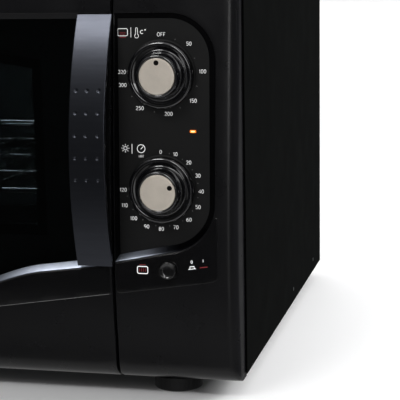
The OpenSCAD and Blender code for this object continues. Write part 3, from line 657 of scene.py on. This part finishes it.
def window_loop(stage):
    """Outline of the window recess: 0 at its lip, 1 at its wall's foot, 2 for the rebate behind."""
    run = WALL_RUN * (stage == 1)
    x0, top = WINDOW_X0 + run, RECESS_TOP - run
    x1 = DOOR_HI.x - RIM - 0.6 * (stage == 1)
    r = WINDOW_R - run
    if stage == 2:
        x0, x1, top, r = GLASS_LO.x - 0.6, DOOR_HI.x - 1.1, GLASS_HI.z + 0.5, 3
    xs = np.linspace(x0 + r, x1, WINDOW_LOW_COUNT)
    low = sweep(xs)
    if stage == 0:
        low = low - BAND_H * widening(xs)
    if stage == 1:
        low = low + run * (1 - widening(xs)) - 0.4
    if stage == 2:
        low = np.full(len(xs), GLASS_LO.z - 0.6)
    floor = float(low[0])
    return np.concatenate([
        np.stack([xs, low], 1),
        upright(x1, np.linspace(low[-1], top, 42)[1:-1]),
        level(np.linspace(x1, x0 + r, 80), top),
        arc(x0 + r, top - r, r, 90, 180, 12)[1:],
        upright(x0, np.linspace(top - r, floor + r, 42)[1:-1]),
        arc(x0 + r, floor + r, r, 180, 270, 12)[:-1],
    ])


DIAL_X1 = 271.4
DIAL_R = 37
DIAL_TURN_R = 31
DIAL_RUN = 5.6
DIAL_LOW = 113.4
DIAL_SLOPE = 0.2
DIAL_BAND_H = 4.6
DIAL_LOW_COUNT = 60


def dial_rise(x, x1, r):
    """Lower edge of the dial recess: a straight rise that turns up into its right side."""
    inside = r - np.clip(x1 - x, 0, r)
    return DIAL_LOW + DIAL_SLOPE * (x - PANEL_LO.x) + r - np.sqrt(r**2 - inside**2)


def dial_loop(stage):
    """Outline of the dial recess, with the same three stages as the window."""
    x0, x1, top, r = PANEL_LO.x + 0.75, DIAL_X1, RECESS_TOP, DIAL_R
    if stage == 1:
        x0, x1, top, r = x0 + 2.2, x1 - DIAL_RUN, top - WALL_RUN, r - DIAL_RUN
    if stage == 2:
        x0, x1, top, r = PANEL_LO.x + 1.3, PLATE_HI.x + 0.3, PLATE_HI.z + 0.4, 3
    xs = x0 + (x1 - x0) * np.sin(np.linspace(0, np.pi / 2, DIAL_LOW_COUNT))
    low = dial_rise(xs, x1, DIAL_TURN_R - 5 * (stage == 1))
    if stage == 0:
        low = low - DIAL_BAND_H
    if stage == 2:
        low = np.full(len(xs), PLATE_LO.z - 0.4)
    return np.concatenate([
        np.stack([xs, low], 1),
        upright(x1, np.linspace(low[-1], top - r, 30)[1:-1]),
        arc(x1 - r, top - r, r, 0, 90, 20),
        level(np.linspace(x1 - r, x0, 30)[1:-1], top),
        upright(x0, np.linspace(top, low[0], 50)[:-1]),
    ])


def lower_rows(low, high):
    """Extra points where a front moulding curls under at its lower edge."""
    xs = np.arange(low.x + 9, high.x - 9, 5.0)
    return np.array([(x, low.z + d) for d in (8.4, 9.8, 11.4, 13.2, 15.2) for x in xs])


def shell_loop(low, high, round_left):
    """Outline of a front moulding, with the case's rounded corner at its free top corner."""
    cz = CASE_TOP - CASE_R
    reach = math.degrees(math.asin((high.z - cz) / CASE_R))
    if round_left:
        top = [[(high.x, high.z)], arc(low.x + CASE_R, cz, CASE_R, 180 - reach, 180, 8)]
    else:
        top = [arc(high.x - CASE_R, cz, CASE_R, 0, reach, 8), [(low.x, high.z)]]
    return dense(np.concatenate([[(low.x, low.z), (high.x, low.z)]] + top), 4.0)


FAR_OFF = 60


def shell_face(low, high, round_left):
    """Outline and height function of a front moulding: the bow, rounded over at its free edges."""
    outline = shell_loop(low, high, round_left)
    inner_x = high.x if round_left else low.x
    # The side and top round by SIDE_R; the other two edges, with radii of their own, are moved far off
    free_edges = outline.copy()
    free_edges[np.abs(outline[:, 0] - inner_x) < 0.01, 0] = inner_x + (FAR_OFF if round_left else -FAR_OFF)
    free_edges[np.abs(outline[:, 1] - low.z) < 0.01, 1] = low.z - FAR_OFF

    def face(points):
        z = np.maximum(points[:, 1], low.z + BOTTOM_R)
        free = edge_drop(loop_distance(points, free_edges), SIDE_R)
        under = edge_drop(points[:, 1] - low.z, BOTTOM_R)
        gap = np.abs(points[:, 0] - inner_x)
        return bow_y(z) + (free**4 + under**4) ** 0.25 + edge_drop(gap, RIM_R)

    return outline, face


def on_recess(outline):
    """Heights of a ring just ahead of the recess plane."""
    return recess_y(outline[:, 1]) - 0.02


def on_rebate(outline):
    """Heights of the rebate's ring, which lies between the last one and the recess plane."""
    return recess_y(outline[:, 1]) - 0.01


# ---- Door ----

door_outline, door_face = shell_face(DOOR_LO, DOOR_HI, True)
lip, foot, rebate = (window_loop(k) for k in (0, 1, 2))
shape = faced_solid([door_outline, lip], [SIDE_R, RIM_R], door_face, DOOR_HI.y - 1.15,
                    wall=[(foot, on_recess), (rebate, on_rebate)], more=lower_rows(DOOR_LO, DOOR_HI))
door_skin = add_piece("door_skin", shape, "door", "shell_black", ["door_shell"], 38)
PIN_LONG = 14.8
HINGE_Y = (PIN_LO.y + PIN_HI.y) / 2
# Slots for the hinge lugs: a narrow one through the side and a taller one behind it
for from_x, half_high in ((DOOR_LO.x - 5, 2.5), (DOOR_LO.x + 1.9, 8)):
    cut(door_skin, [((from_x, HINGE_Y - 5, z - half_high), (HINGE_HI.x + 0.4, DOOR_HI.y + 5, z + half_high))
                    for z in (PIN_LO.z + PIN_LONG / 2, PIN_HI.z - PIN_LONG / 2)])


SLAB_RIM = 0.35


def slab(x0, x1, z0, z1, behind, radius, step=12.0):
    """Closed plate on the leaning recess plane with rounded corners."""
    outline = dense(box_outline(x0, z0, x1, z1, radius), step)
    return plate([outline], recess_y, [SLAB_RIM], behind, step)


shape = slab(GLASS_LO.x, GLASS_HI.x, GLASS_LO.z, GLASS_HI.z, 2.9, 2.0)
add_piece("window_glass", shape, "door", "door_glass", ["outer_glass"])
shape = slab(GLASS_HI.x + 0.5, DOOR_HI.x - 1.3, GLASS_LO.z, GLASS_HI.z, 2.0, 1.0)
add_piece("handle_step", shape, "door", "shell_black")


def band(lip_line, foot_line, thick=0.45):
    """Thin strip lying on the sloping wall between its lip and its foot."""
    a = np.array([(x, bow_y(z) + RIM_R, z) for x, z in lip_line])
    b = np.array([(x, recess_y(z) - 0.02, z) for x, z in foot_line])
    along = np.gradient(a, axis=0)
    across = b - a
    normal = np.cross(along, across)
    normal /= np.linalg.norm(normal, axis=1)[:, None]
    normal *= np.sign(-normal[:, 1])[:, None]
    shares = (0.0, 0.04, 0.12, 0.5, 0.88, 0.96, 1.0)
    lifts = [thick * share for share in (0.05, 0.67, 0.93, 1, 0.93, 0.67, 0.05)]
    verts = []
    for p, d, n in zip(a, across, normal):
        verts += [tuple(p + d * s + n * h) for s, h in zip(shares, lifts)]
        verts += [tuple(p + d * s - n * 0.15) for s in (0.97, 0.03)]
    return verts, tube(len(a), len(shares) + 2)


BAND_LIFT = (0, 0.15)
first = int(np.argmax(lip[:WINDOW_LOW_COUNT, 0] > SWEEP_X0 - 18))
under = slice(first, WINDOW_LOW_COUNT)
shape = band(lip[under] + BAND_LIFT, foot[under])
add_piece("door_band", shape, "door", "trim_silver", ["door_trim_band"], 50)


# ---- Gloss inlays under the band ----

INLAY_SLOPE = 0.15
INLAY_LOW = 83.5
INLAY_H = 0.4


def inlay_low(x):
    """Lower edge of both inlays."""
    return INLAY_LOW + INLAY_SLOPE * (np.asarray(x, float) - DOOR_HI.x)


def inlay_y(z):
    """Front of both inlays at height z, just ahead of the bow."""
    return bow_y(z) - INLAY_H


def inlay(outline, *holes):
    """Closed plate let into the bow."""
    return plate([outline, *holes], inlay_y, [INLAY_H] + [0.3] * len(holes), INLAY_H + 0.25, 4.0)


# The door's inlay is a wedge between its lower edge and the band's lip
INLAY_TIP = 6.0
end_x = DOOR_HI.x - 1
lower = [(x, float(inlay_low(x))) for x in np.linspace(INLAY_TIP + 26, end_x, 30)]
upper = [(x, float(z) - 0.6) for x, z in lip[:WINDOW_LOW_COUNT][::-1] if INLAY_TIP + 8 < x < end_x]
upper = [(x, z) for x, z in [(end_x, upper[0][1])] + upper if z > float(inlay_low(x)) + 0.6]
outline = tidied(dense(rounded(lower + upper, [1.5] * len(lower + upper), 3), 3.0))
add_piece("door_gloss", inlay(outline), "door", "inlay_black", ["door_inlay"], 45)

BUTTON_R = (BUTTON_HI.x - BUTTON_LO.x) / 2


def button_hole(clear):
    return dense(arc(BUTTON_X, BUTTON_Z, BUTTON_R + clear, 0, 360, 49)[:-1], 2)


# The panel's inlay follows the dial recess and climbs a little way up its right side
INLAY_TOP = 146.0
start_x, end_x = PANEL_LO.x + 1, DIAL_X1 + 2.0
dial_lip, dial_foot, dial_rebate = (dial_loop(k) for k in (0, 1, 2))
upper = [(x + 0.4, z - 0.8) for x, z in dial_lip[:DIAL_LOW_COUNT][::-1]]
upper = [(x, z) for x, z in upper if z < INLAY_TOP - 1 and start_x + 0.2 < x < DIAL_X1 + 0.5]
points = [(start_x, float(inlay_low(PANEL_LO.x))), (end_x, float(inlay_low(end_x))), (end_x, INLAY_TOP),
          (DIAL_X1 + 0.7, INLAY_TOP), *upper, (start_x, upper[-1][1])]
radii = [4.0, 5.0] + [0.3] * 2 + [0.5] * (len(points) - 4)
outline = tidied(dense(rounded(points, radii, 6), 3.0))
add_piece("panel_gloss", inlay(outline, button_hole(0.35)), "oven", "inlay_black", ["panel_inlay"], 45)

# ---- Control panel ----

panel_outline, panel_face = shell_face(PANEL_LO, PANEL_HI, False)
shape = faced_solid([panel_outline, dial_lip, button_hole(0.1)], [SIDE_R, RIM_R, 0.0], panel_face,
                    PANEL_HI.y - 0.1, 4.0, [(dial_foot, on_recess), (dial_rebate, on_rebate)],
                    lower_rows(PANEL_LO, PANEL_HI))
add_piece("panel_skin", shape, "oven", "shell_black", ["panel_bezel"], 38)

# The recess wall is silver for its first points, along the foot; for the rest of the way round a thin
# near-black strip lies on it as painted shade for the dark inside of the recess
SILVER_COUNT = 46
shape = band(dial_lip[:SILVER_COUNT] + BAND_LIFT, dial_foot[:SILVER_COUNT])
add_piece("panel_band", shape, "oven", "trim_silver", ["panel_trim_band"], 50)
rest = list(range(SILVER_COUNT - 1, len(dial_lip))) + [0]
add_piece("dial_wall_painted_shade", band(dial_lip[rest], dial_foot[rest], 0.12), "oven", RECESS_PAINTED_SHADE, (), 50)

BOSS_R = 27.2
BOSS_H = 1.0
parts = [slab(PLATE_LO.x + 0.3, PLATE_HI.x - 0.3, PLATE_LO.z + 0.3, PLATE_HI.z - 0.3, 1.4, 2.0, 6.0)]
for z in (THERMO_Z, TIMER_Z):
    profile = smooth_profile([(0, -1.2), (BOSS_R, -1.2), (BOSS_R, BOSS_H - 0.9), (BOSS_R - 1.2, BOSS_H),
                              (BOSS_R - 2.0, BOSS_H - 0.5), (0, BOSS_H - 0.5)], 0.5)
    parts.append(turned(profile, (DIAL_X, float(recess_y(z)), z)))
add_piece("dial_face", merge(parts), "oven", "dial_black", ["dial_plate"], 30)

# ---- Prints on the dial plate ----

PRINT_T = 0.05


def recess_print(x, z, lift):
    """Place on the dial plate."""
    return (x, float(recess_y(z)) - 0.015 - lift, z)


def bow_print(x, z, lift):
    """Place on an inlay."""
    return (x, float(inlay_y(z)) - 0.01 - lift, z)


def stroke(points, width, closed=False, where=recess_print):
    """Flat raised line along points."""
    points = np.array(points, float)
    run = np.roll(points, -1, axis=0) - np.roll(points, 1, axis=0) if closed else np.gradient(points, axis=0)
    run /= np.linalg.norm(run, axis=1)[:, None]
    side = np.stack([-run[:, 1], run[:, 0]], 1) * width / 2
    verts = []
    for p, s in zip(points, side):
        for q, lift in ((p + s, PRINT_T), (p - s, PRINT_T), (p - s, 0), (p + s, 0)):
            verts.append(where(q[0], q[1], lift))
    return verts, tube(len(points), 4, closed)


LETTERS = {}


def letter(name, *lines):
    """Single-line character in a box one unit high, centred on 0, 0."""
    LETTERS[name] = [np.array(line, float) for line in lines]


letter("0", bend(0, 0, 0.27, 0.5, 90, 450, 22))
letter("O", bend(0, 0, 0.36, 0.5, 90, 450, 24))
letter("1", [(-0.14, 0.3), (0.06, 0.5), (0.06, -0.5)])
letter("2", [*bend(0, 0.22, 0.25, 0.27, 165, -35, 12), (-0.27, -0.5), (0.28, -0.5)])
letter("3", [*bend(0, 0.25, 0.24, 0.25, 150, -80, 11), *bend(0, -0.24, 0.27, 0.26, 80, -150, 12)])
letter("4", [(0.12, -0.5), (0.12, 0.5), (-0.3, -0.2), (0.32, -0.2)])
letter("5", [(0.24, 0.5), (-0.2, 0.5), (-0.23, 0.06), *bend(0, -0.17, 0.27, 0.32, 120, -150, 13)])
letter("6", [(0.17, 0.5), *bend(0.05, -0.1, 0.32, 0.5, 115, 180, 5), *bend(0, -0.2, 0.27, 0.3, 180, 530, 18)])
letter("7", [(-0.27, 0.5), (0.27, 0.5), (-0.1, -0.5)])
letter("8", bend(0, 0.25, 0.22, 0.24, -90, 270, 16), bend(0, -0.24, 0.27, 0.26, 90, 450, 18))
letter("9", [*bend(0, 0.2, 0.27, 0.3, 0, 350, 18), *bend(-0.05, 0.1, 0.32, 0.6, 0, -65, 5)])
letter("F", [(-0.22, -0.5), (-0.22, 0.5), (0.26, 0.5)], [(-0.22, 0.03), (0.18, 0.03)])
letter("I", [(0, -0.5), (0, 0.5)])
letter("M", [(-0.36, -0.5), (-0.3, 0.5), (0, -0.3), (0.3, 0.5), (0.36, -0.5)])
letter("N", [(-0.26, -0.5), (-0.26, 0.5), (0.26, -0.5), (0.26, 0.5)])
ADVANCE = {"1": 0.52, "O": 0.95, "F": 0.78, "M": 0.95, "I": 0.35}


def words(items, size, width, where=recess_print):
    """Flat raised characters drawn as lines: each item is (word, x, z)."""
    parts = []
    for word, x, z in items:
        steps = [ADVANCE.get(c, 0.8) for c in word]
        at = -sum(steps) / 2
        for c, step in zip(word, steps):
            for line in LETTERS[c]:
                points = line * size + (x + (at + step / 2) * size, z)
                closed = np.linalg.norm(points[0] - points[-1]) < 0.02
                parts.append(stroke(points[:-1] if closed else points, width, closed, where))
            at += step
    return merge(parts)


def on_ring(x, z, radius, degrees):
    """Place on a circle, clockwise from its top."""
    a = math.radians(degrees)
    return x + radius * math.sin(a), z + radius * math.cos(a)


def ticks(x, z, angles, r0, r1, width):
    return [stroke([on_ring(x, z, r0, a), on_ring(x, z, r1, a)], width) for a in angles]


def box_ring(x0, z0, x1, z1, radius, width, where=recess_print):
    return stroke(box_outline(x0, z0, x1, z1, radius), width, True, where)


NUMBER_H = 2.8
NUMBER_W = 0.34
NUMBER_X0 = DIAL_X - 31.5


def number_ring(name, marks, cx, cz, radius, widen):
    """Numbers round a dial. The ring is wider than it is high, as the words are."""
    items = []
    for word, angle in marks:
        x, z = on_ring(cx, cz, radius + widen * abs(math.sin(math.radians(angle))), angle)
        items.append((word, max(x, NUMBER_X0), z))
    add_piece(name, words(items, NUMBER_H, NUMBER_W), "oven", PRINT_WHITE_PAINTED_GLOW)


MINUTE = 2.25
thermo_marks = [("OFF", 0), ("50", 43), ("100", 86), ("150", 129), ("200", 170), ("250", 214),
                ("300", 255), ("320", 273)]
timer_marks = [(str(minutes), minutes * MINUTE) for minutes in range(0, 121, 10)]
number_ring("thermostat_numbers", thermo_marks, DIAL_X, THERMO_Z + 0.5, 30.3, 2.0)
number_ring("timer_numbers", timer_marks, DIAL_X - 1.2, TIMER_Z - 0.7, 29.9, 2.0)
marks = ticks(DIAL_X, THERMO_Z, [22, 64, 107, 150, 192, 235], 28.4, 29.4, 0.4)
marks += ticks(DIAL_X, TIMER_Z, [11.25 + 22.5 * i for i in range(12)], 28.2, 29.1, 0.4)
add_piece("dial_ticks", merge(marks), "oven", GREY_PRINT_AND_PAINTED_HIGHLIGHT)

icons = [
    # Heat-from-below oven, bar, thermometer and degree sign
    box_ring(193.9, 283.5, 201.7, 289.0, 1.2, 0.5),
    stroke([(204.4, 282.4), (204.4, 290.0)], 0.4),
    stroke([*arc(208.9, 283.4, 1.55, -240, 60, 14), (209.65, 288.9),
            *arc(208.9, 288.9, 0.75, 0, 180, 6), (208.15, 284.8)], 0.4, True),
    stroke(arc(213.2, 286.4, 1.3, 50, 310, 12), 0.5),
    stroke(arc(215.7, 288.0, 0.42, 0, 330, 8), 0.34, True),
    # Lamp, bar and clock above the timer
    stroke(arc(199.0, 197.2, 1.35, 0, 345, 14), 0.55, True),
    *ticks(199.0, 197.2, range(0, 360, 45), 2.1, 3.3, 0.5),
    stroke([(204.3, 193.0), (204.3, 200.6)], 0.5),
    stroke(arc(211.6, 197.0, 3.1, 0, 350, 24), 0.55, True),
    stroke([(211.3, 196.6), (213.2, 198.7)], 0.5),
    words([("MIN", 211.6, 191.2)], 1.9, 0.3)]
add_piece("dial_icons", merge(icons), "oven", PRINT_WHITE_PAINTED_GLOW)
red = [stroke([(195.3, 282.3), (200.3, 282.3)], 0.45)]
red += [stroke([(195.5, z), (200.1, z)], 0.36) for z in (284.9, 286.0)]
add_piece("dial_icons_red", merge(red), "oven", PRINT_RED)


def inlay_stroke(points, width):
    return stroke(points, width, False, bow_print)


# Painted highlight: a light grey line along the foot of the door's inlay, standing for the lit lower edge of
# its recess
xs = np.linspace(INLAY_TIP + 26, DOOR_HI.x - 3, 60)
line = inlay_stroke(np.stack([xs, inlay_low(xs) + 0.25], 1), 0.4)
add_piece("inlay_painted_highlight", line, "door", GREY_PRINT_AND_PAINTED_HIGHLIGHT)

# Browning button's oven and its out and in marks
low_icons = [
    box_ring(209.6, 100.9, 217.9, 106.5, 1.3, 0.75, bow_print),
    inlay_stroke([(251.6, 105.7), (251.6, 107.5), (254.9, 107.9), (254.9, 106.1)], 0.8),
    inlay_stroke([(250.2, 105.4), (256.2, 106.2)], 0.6),
    words([("0", 253.0, 111.3), ("I", 262.0, 112.5)], 2.2, 0.45, bow_print)]
add_piece("button_icons", merge(low_icons), "oven", PRINT_WHITE_PAINTED_GLOW)
low_red = [inlay_stroke([(211.4, 107.9), (216.2, 107.9)], 0.6)]
low_red += [inlay_stroke([(x, 102.4), (x, 105.0)], 0.5) for x in (211.2, 212.8, 214.4, 216.0)]
low_red.append(inlay_stroke([(259.4, 107.0), (265.4, 107.9)], 0.7))
add_piece("button_icons_red", merge(low_red), "oven", PRINT_RED)

# ---- Dials, button and lamp ----

RING_R = 2.2
RING_TOP = 4.7
for name, z, turn in (("thermostat", THERMO_Z, 0.0), ("timer", TIMER_Z, 30 * MINUTE)):
    knob_lo, knob_hi = box_mm(name + "_knob")
    cap_lo, cap_hi = box_mm(name + "_cap")
    height = knob_hi.y - knob_lo.y
    skirt_r = (knob_hi.x - knob_lo.x) / 2
    cap_r = (cap_hi.x - cap_lo.x) / 2
    centre = (DIAL_X, knob_hi.y, z)
    ring_r = skirt_r - RING_R
    profile = [(0, 0.05), (skirt_r - 0.3, 0.05)]
    profile += [(ring_r + RING_R * math.cos(a), RING_TOP - RING_R + RING_R * math.sin(a))
                for a in np.radians(np.linspace(-20, 135, 24))]
    profile += smooth_profile([
        (ring_r - 1.7, RING_TOP - 1.1), (19.6, 3.0), (18.1, 4.6), (17.4, 7.5), (16.6, height - 2.4),
        (16.0, height - 0.5), (cap_r + 0.9, height - 0.05), (cap_r + 0.15, height - 0.5),
        (cap_r + 0.12, height - 1.45), (0, height - 1.45)], 1.0, 7)
    dial = name + "_dial"
    add_piece(name + "_grip", turned(profile, centre, 128), dial, "knob_black", [name + "_knob"], 50)
    disc = smooth_profile([(0, height - 1.45), (cap_r - 0.1, height - 1.45), (cap_r - 0.1, height - 0.45),
                           (cap_r - 0.8, height - 0.12), (0, height - 0.05)], 0.35)
    add_piece(name + "_disc", turned(disc, centre, 128), dial, "cap_champagne", [name + "_cap"], 50)
    dot_x, dot_z = on_ring(DIAL_X, z, cap_r - 3.6, turn)
    dot = smooth_profile([(0, height - 0.3), (2.0, height - 0.3), (1.95, height - 0.01),
                          (1.1, height - 0.03), (0, height - 0.08)], 0.06)
    add_piece(name + "_pointer", turned(dot, (dot_x, knob_hi.y, dot_z), 32), dial, DOT_DARK)

profile = smooth_profile([
    (0, -19), (2.4, -19), (2.4, -8), (BUTTON_R - 0.2, -8), (BUTTON_R - 0.1, -0.9), (BUTTON_R - 0.7, -0.1),
    (BUTTON_R - 1.3, 0), (BUTTON_R - 2.0, -0.5), (BUTTON_R - 3.2, -1.1), (0, -1.5)], 0.5, 6)
shape = turned(profile, (BUTTON_X, BUTTON_LO.y + 0.05, BUTTON_Z), 72)
add_piece("push_button", shape, "button", "button_black", ["browning_button"], 50)

LENS_W = 2.45
LENS_H = 1.05
LENS_RIM = 0.45


def lens(half_w, half_h, ahead, radius):
    """Small domed window of the lamp, standing ahead of the dial plate."""
    outline = box_outline(LAMP_X - half_w, LAMP_Z - half_h, LAMP_X + half_w, LAMP_Z + half_h, radius)
    outline = dense(outline, 0.6)

    def face(points):
        return recess_y(points[:, 1]) - ahead + edge_drop(loop_distance(points, outline), LENS_RIM)

    return faced_solid([outline], [LENS_RIM], face, float(recess_y(LAMP_Z)) + 1, 0.8)


add_piece("lamp_lens", lens(LENS_W, LENS_H, 0.55, 0.7), "oven", "lamp_amber", ["indicator_lamp"])
add_piece("lamp_glow", lens(LENS_W - 0.85, LENS_H - 0.5, 0.7, 0.4), "oven", LAMP_CORE)

# ---- Handle strap ----

# The strap is an arc in side view, about an axis along X at STRAP_Y, STRAP_Z
STRAP_R = 228
STRAP_T = 4
STRAP_Y = STRAP_LO.y + STRAP_R
STRAP_Z = 184
STRAP_X = (STRAP_LO.x + STRAP_HI.x) / 2
STRAP_EDGE = 0.7
DIMPLE_ROWS = [243.7, 226.9, 209.9, 192.7, 175.8]
DIMPLE_COLUMNS = [-9.0, -0.4, 8.9]
DIMPLE_R = 1.45
DIMPLE_DEEP = 0.75
FACE_COUNT = 66
flat_x = (STRAP_HI.x - STRAP_LO.x) / 2 - 0.02 - STRAP_EDGE
near, far = STRAP_EDGE, STRAP_T - STRAP_EDGE

# Its section, as (x, depth behind the front): the front face, then round the edges and the back
section = np.concatenate([
    level(np.linspace(-flat_x, flat_x, FACE_COUNT), 0),
    arc(flat_x, near, STRAP_EDGE, -90, 0, 5)[1:],
    arc(flat_x, far, STRAP_EDGE, 0, 90, 5),
    level(np.linspace(flat_x, -flat_x, 6)[1:-1], STRAP_T),
    arc(-flat_x, far, STRAP_EDGE, 90, 180, 5),
    arc(-flat_x, near, STRAP_EDGE, 180, 270, 5)[:-1],
])
verts = []
lowest, highest = (math.asin((z - STRAP_Z) / STRAP_R) for z in (STRAP_LO.z + 0.2, STRAP_HI.z - 0.2))
angles = np.linspace(lowest, highest, 420)
for a in angles:
    deep = section[:, 1].copy()
    for row in DIMPLE_ROWS:
        along = STRAP_R * (a - math.asin((row - STRAP_Z) / STRAP_R))
        for column in DIMPLE_COLUMNS:
            away = np.hypot(section[:FACE_COUNT, 0] - column, along)
            dimple = DIMPLE_DEEP * np.clip(1 - away / DIMPLE_R, 0, 1) ** 0.8
            deep[:FACE_COUNT] = np.maximum(deep[:FACE_COUNT], dimple)
    radius = STRAP_R - deep
    y = STRAP_Y - radius * math.cos(a)
    z = STRAP_Z + radius * math.sin(a)
    verts += list(zip(STRAP_X + section[:, 0], np.minimum(y, bow_y(z) + 0.6), z))
add_piece("strap", (verts, tube(len(angles), len(section))), "door", "handle_steel", ["handle"], 40)

# ---- Feet ----

FOOT_R = 19.6
FOOT_TOP = SHELL_Z0 - 0.6
NECK_R = 4.4
NECK_TOP = 14.9
RIBS = 36
RIB_DEEP = 0.35
profile = smooth_profile([(0, 0), (FOOT_R - 0.6, 0), (FOOT_R - 0.1, 0.7), (FOOT_R - 0.02, 9.8),
                          (FOOT_R - 1.0, FOOT_TOP), (NECK_R, FOOT_TOP), (NECK_R, NECK_TOP), (0, NECK_TOP)])
# Turned lying down, then stood up at each corner with ribs round its side
lying, faces = turned(profile, (0, 0, 0), 4 * RIBS)
parts = []
for x in (FOOT_LO.x + FOOT_R, FOOT_HI.x - FOOT_R):
    for y in (FOOT_LO.y + FOOT_R, FOOT_HI.y - FOOT_R):
        verts = []
        for side, down, ahead in lying:
            r, a, height = math.hypot(side, ahead), math.atan2(side, ahead), -down
            if r > FOOT_R - 1.0 and 1.5 < height < 9.5 and math.cos(RIBS * a) > 0:
                r -= RIB_DEEP
            verts.append((x + r * math.sin(a), y + r * math.cos(a), height))
        parts.append((verts, faces))
add_piece("oven_feet", merge(parts), "oven", "foot_black", ["feet"], 30)

# ---- Stage, light and camera ----

FLOOR_R = 14
FLOOR_SIDES = 64
rim = [(x, y, 0) for x, y in arc(0, 0, FLOOR_R, 0, 360, FLOOR_SIDES + 1)[:-1]]
floor_mesh = bpy.data.meshes.new("floor")
floor_mesh.from_pydata(rim, [], [tuple(range(FLOOR_SIDES))])
floor_mesh.materials.append(material("floor_pale", (0.86, 0.86, 0.865), 0.6, specular=0.12,
                                     grain=(40, 0.05, 0.3), mottle=(1.2, 0.008)))
floor = placed("floor", floor_mesh)
floor.visible_glossy = False


def softbox(name, place, target, size, radiance):
    """Soft light of that size in metres, whose face has that brightness."""
    data = bpy.data.lights.new(name, "AREA")
    data.shape = "RECTANGLE"
    data.size, data.size_y = size
    data.energy = math.pi * size[0] * size[1] * radiance
    light = placed(name, data)
    light.location = place
    light.rotation_mode = "QUATERNION"
    light.rotation_quaternion = (Vector(target) - Vector(place)).to_track_quat("-Z", "Y")
    light.visible_camera = False
    return light


softbox("overhead", (0.9, 1.9, 2.4), (0.9, 1.6, 0.0), (3.0, 2.2), 1.3)
softbox("background", (0.5, 6.5, 3.2), (0.5, 6.4, 0.0), (9.0, 8.0), 1.5).visible_glossy = False
softbox("rear_right", (1.45, 0.2, 0.75), (0.3, -0.4, 0.0), (0.6, 0.6), 18).visible_glossy = False
softbox("front_top", (-0.4, -1.25, 1.75), (0.15, -0.2, 0.25), (0.7, 0.4), 12)
softbox("right", (0.56, -1.7, 1.0), (0.23, -0.22, 0.2), (0.34, 1.5), 3.2).visible_diffuse = False
softbox("front_strip", (0.72, -2.15, 0.15), (0.28, -0.2, 0.15), (0.35, 1.8), 0.7)
softbox("inside", (-0.02, -0.14, 0.318), (0.0, 0.0, 0.1), (0.36, 0.03), 9.0)

# The world's brightness is for lighting and reflections only; the camera sees plain white behind the oven
world = bpy.data.worlds.new("studio")
bpy.context.scene.world = world
nodes = Nodes(world)
direction = nodes.add("SeparateXYZ", {"Vector": nodes.result("Generated", "TexCoord", {})}).outputs


def faded(axis, start, end, low, high):
    """World brightness that changes smoothly along one axis of the direction."""
    return nodes.ranged(direction[axis], start, end, low, high, interpolation_type="SMOOTHSTEP")


def added(first, second):
    """Sum of two brightnesses."""
    return nodes.result("Value", "Math", {0: first, 1: second}, operation="ADD")


total = added(added(faded("Y", 0.7, 0.95, 0.025, 0.14), faded("Z", 0.25, 0.9, 0.0, 0.6)),
              faded("Z", -0.25, -0.85, 0.0, 0.45))
seen = nodes.result("Is Camera Ray", "LightPath", {})
strength = nodes.result("Result", "Mix", {"Factor": seen, "A": total, "B": 1.0})
background = nodes.tree.nodes["Background"].inputs
nodes.feed(background["Strength"], strength)
nodes.feed(background["Color"], (1, 1, 1, 1))
bpy.context.scene.view_settings.view_transform = "Standard"

CAMERA_PLACE = (0.4895, -1.2091, 0.3411)
YAW, PITCH, ROLL = (math.radians(a) for a in (13.09, 10.15, 0.96))
camera_data = bpy.data.cameras.new("camera")
camera_data.lens = 121.5
camera_data.sensor_width = 36
camera_data.clip_end = 60
camera = placed("camera", camera_data)
camera.matrix_world = Matrix.Translation(CAMERA_PLACE)
for angle, axis in ((YAW, "Z"), (math.pi / 2 - PITCH, "X"), (-ROLL, "Z")):
    camera.matrix_world @= Matrix.Rotation(angle, 4, axis)
bpy.context.scene.camera = camera
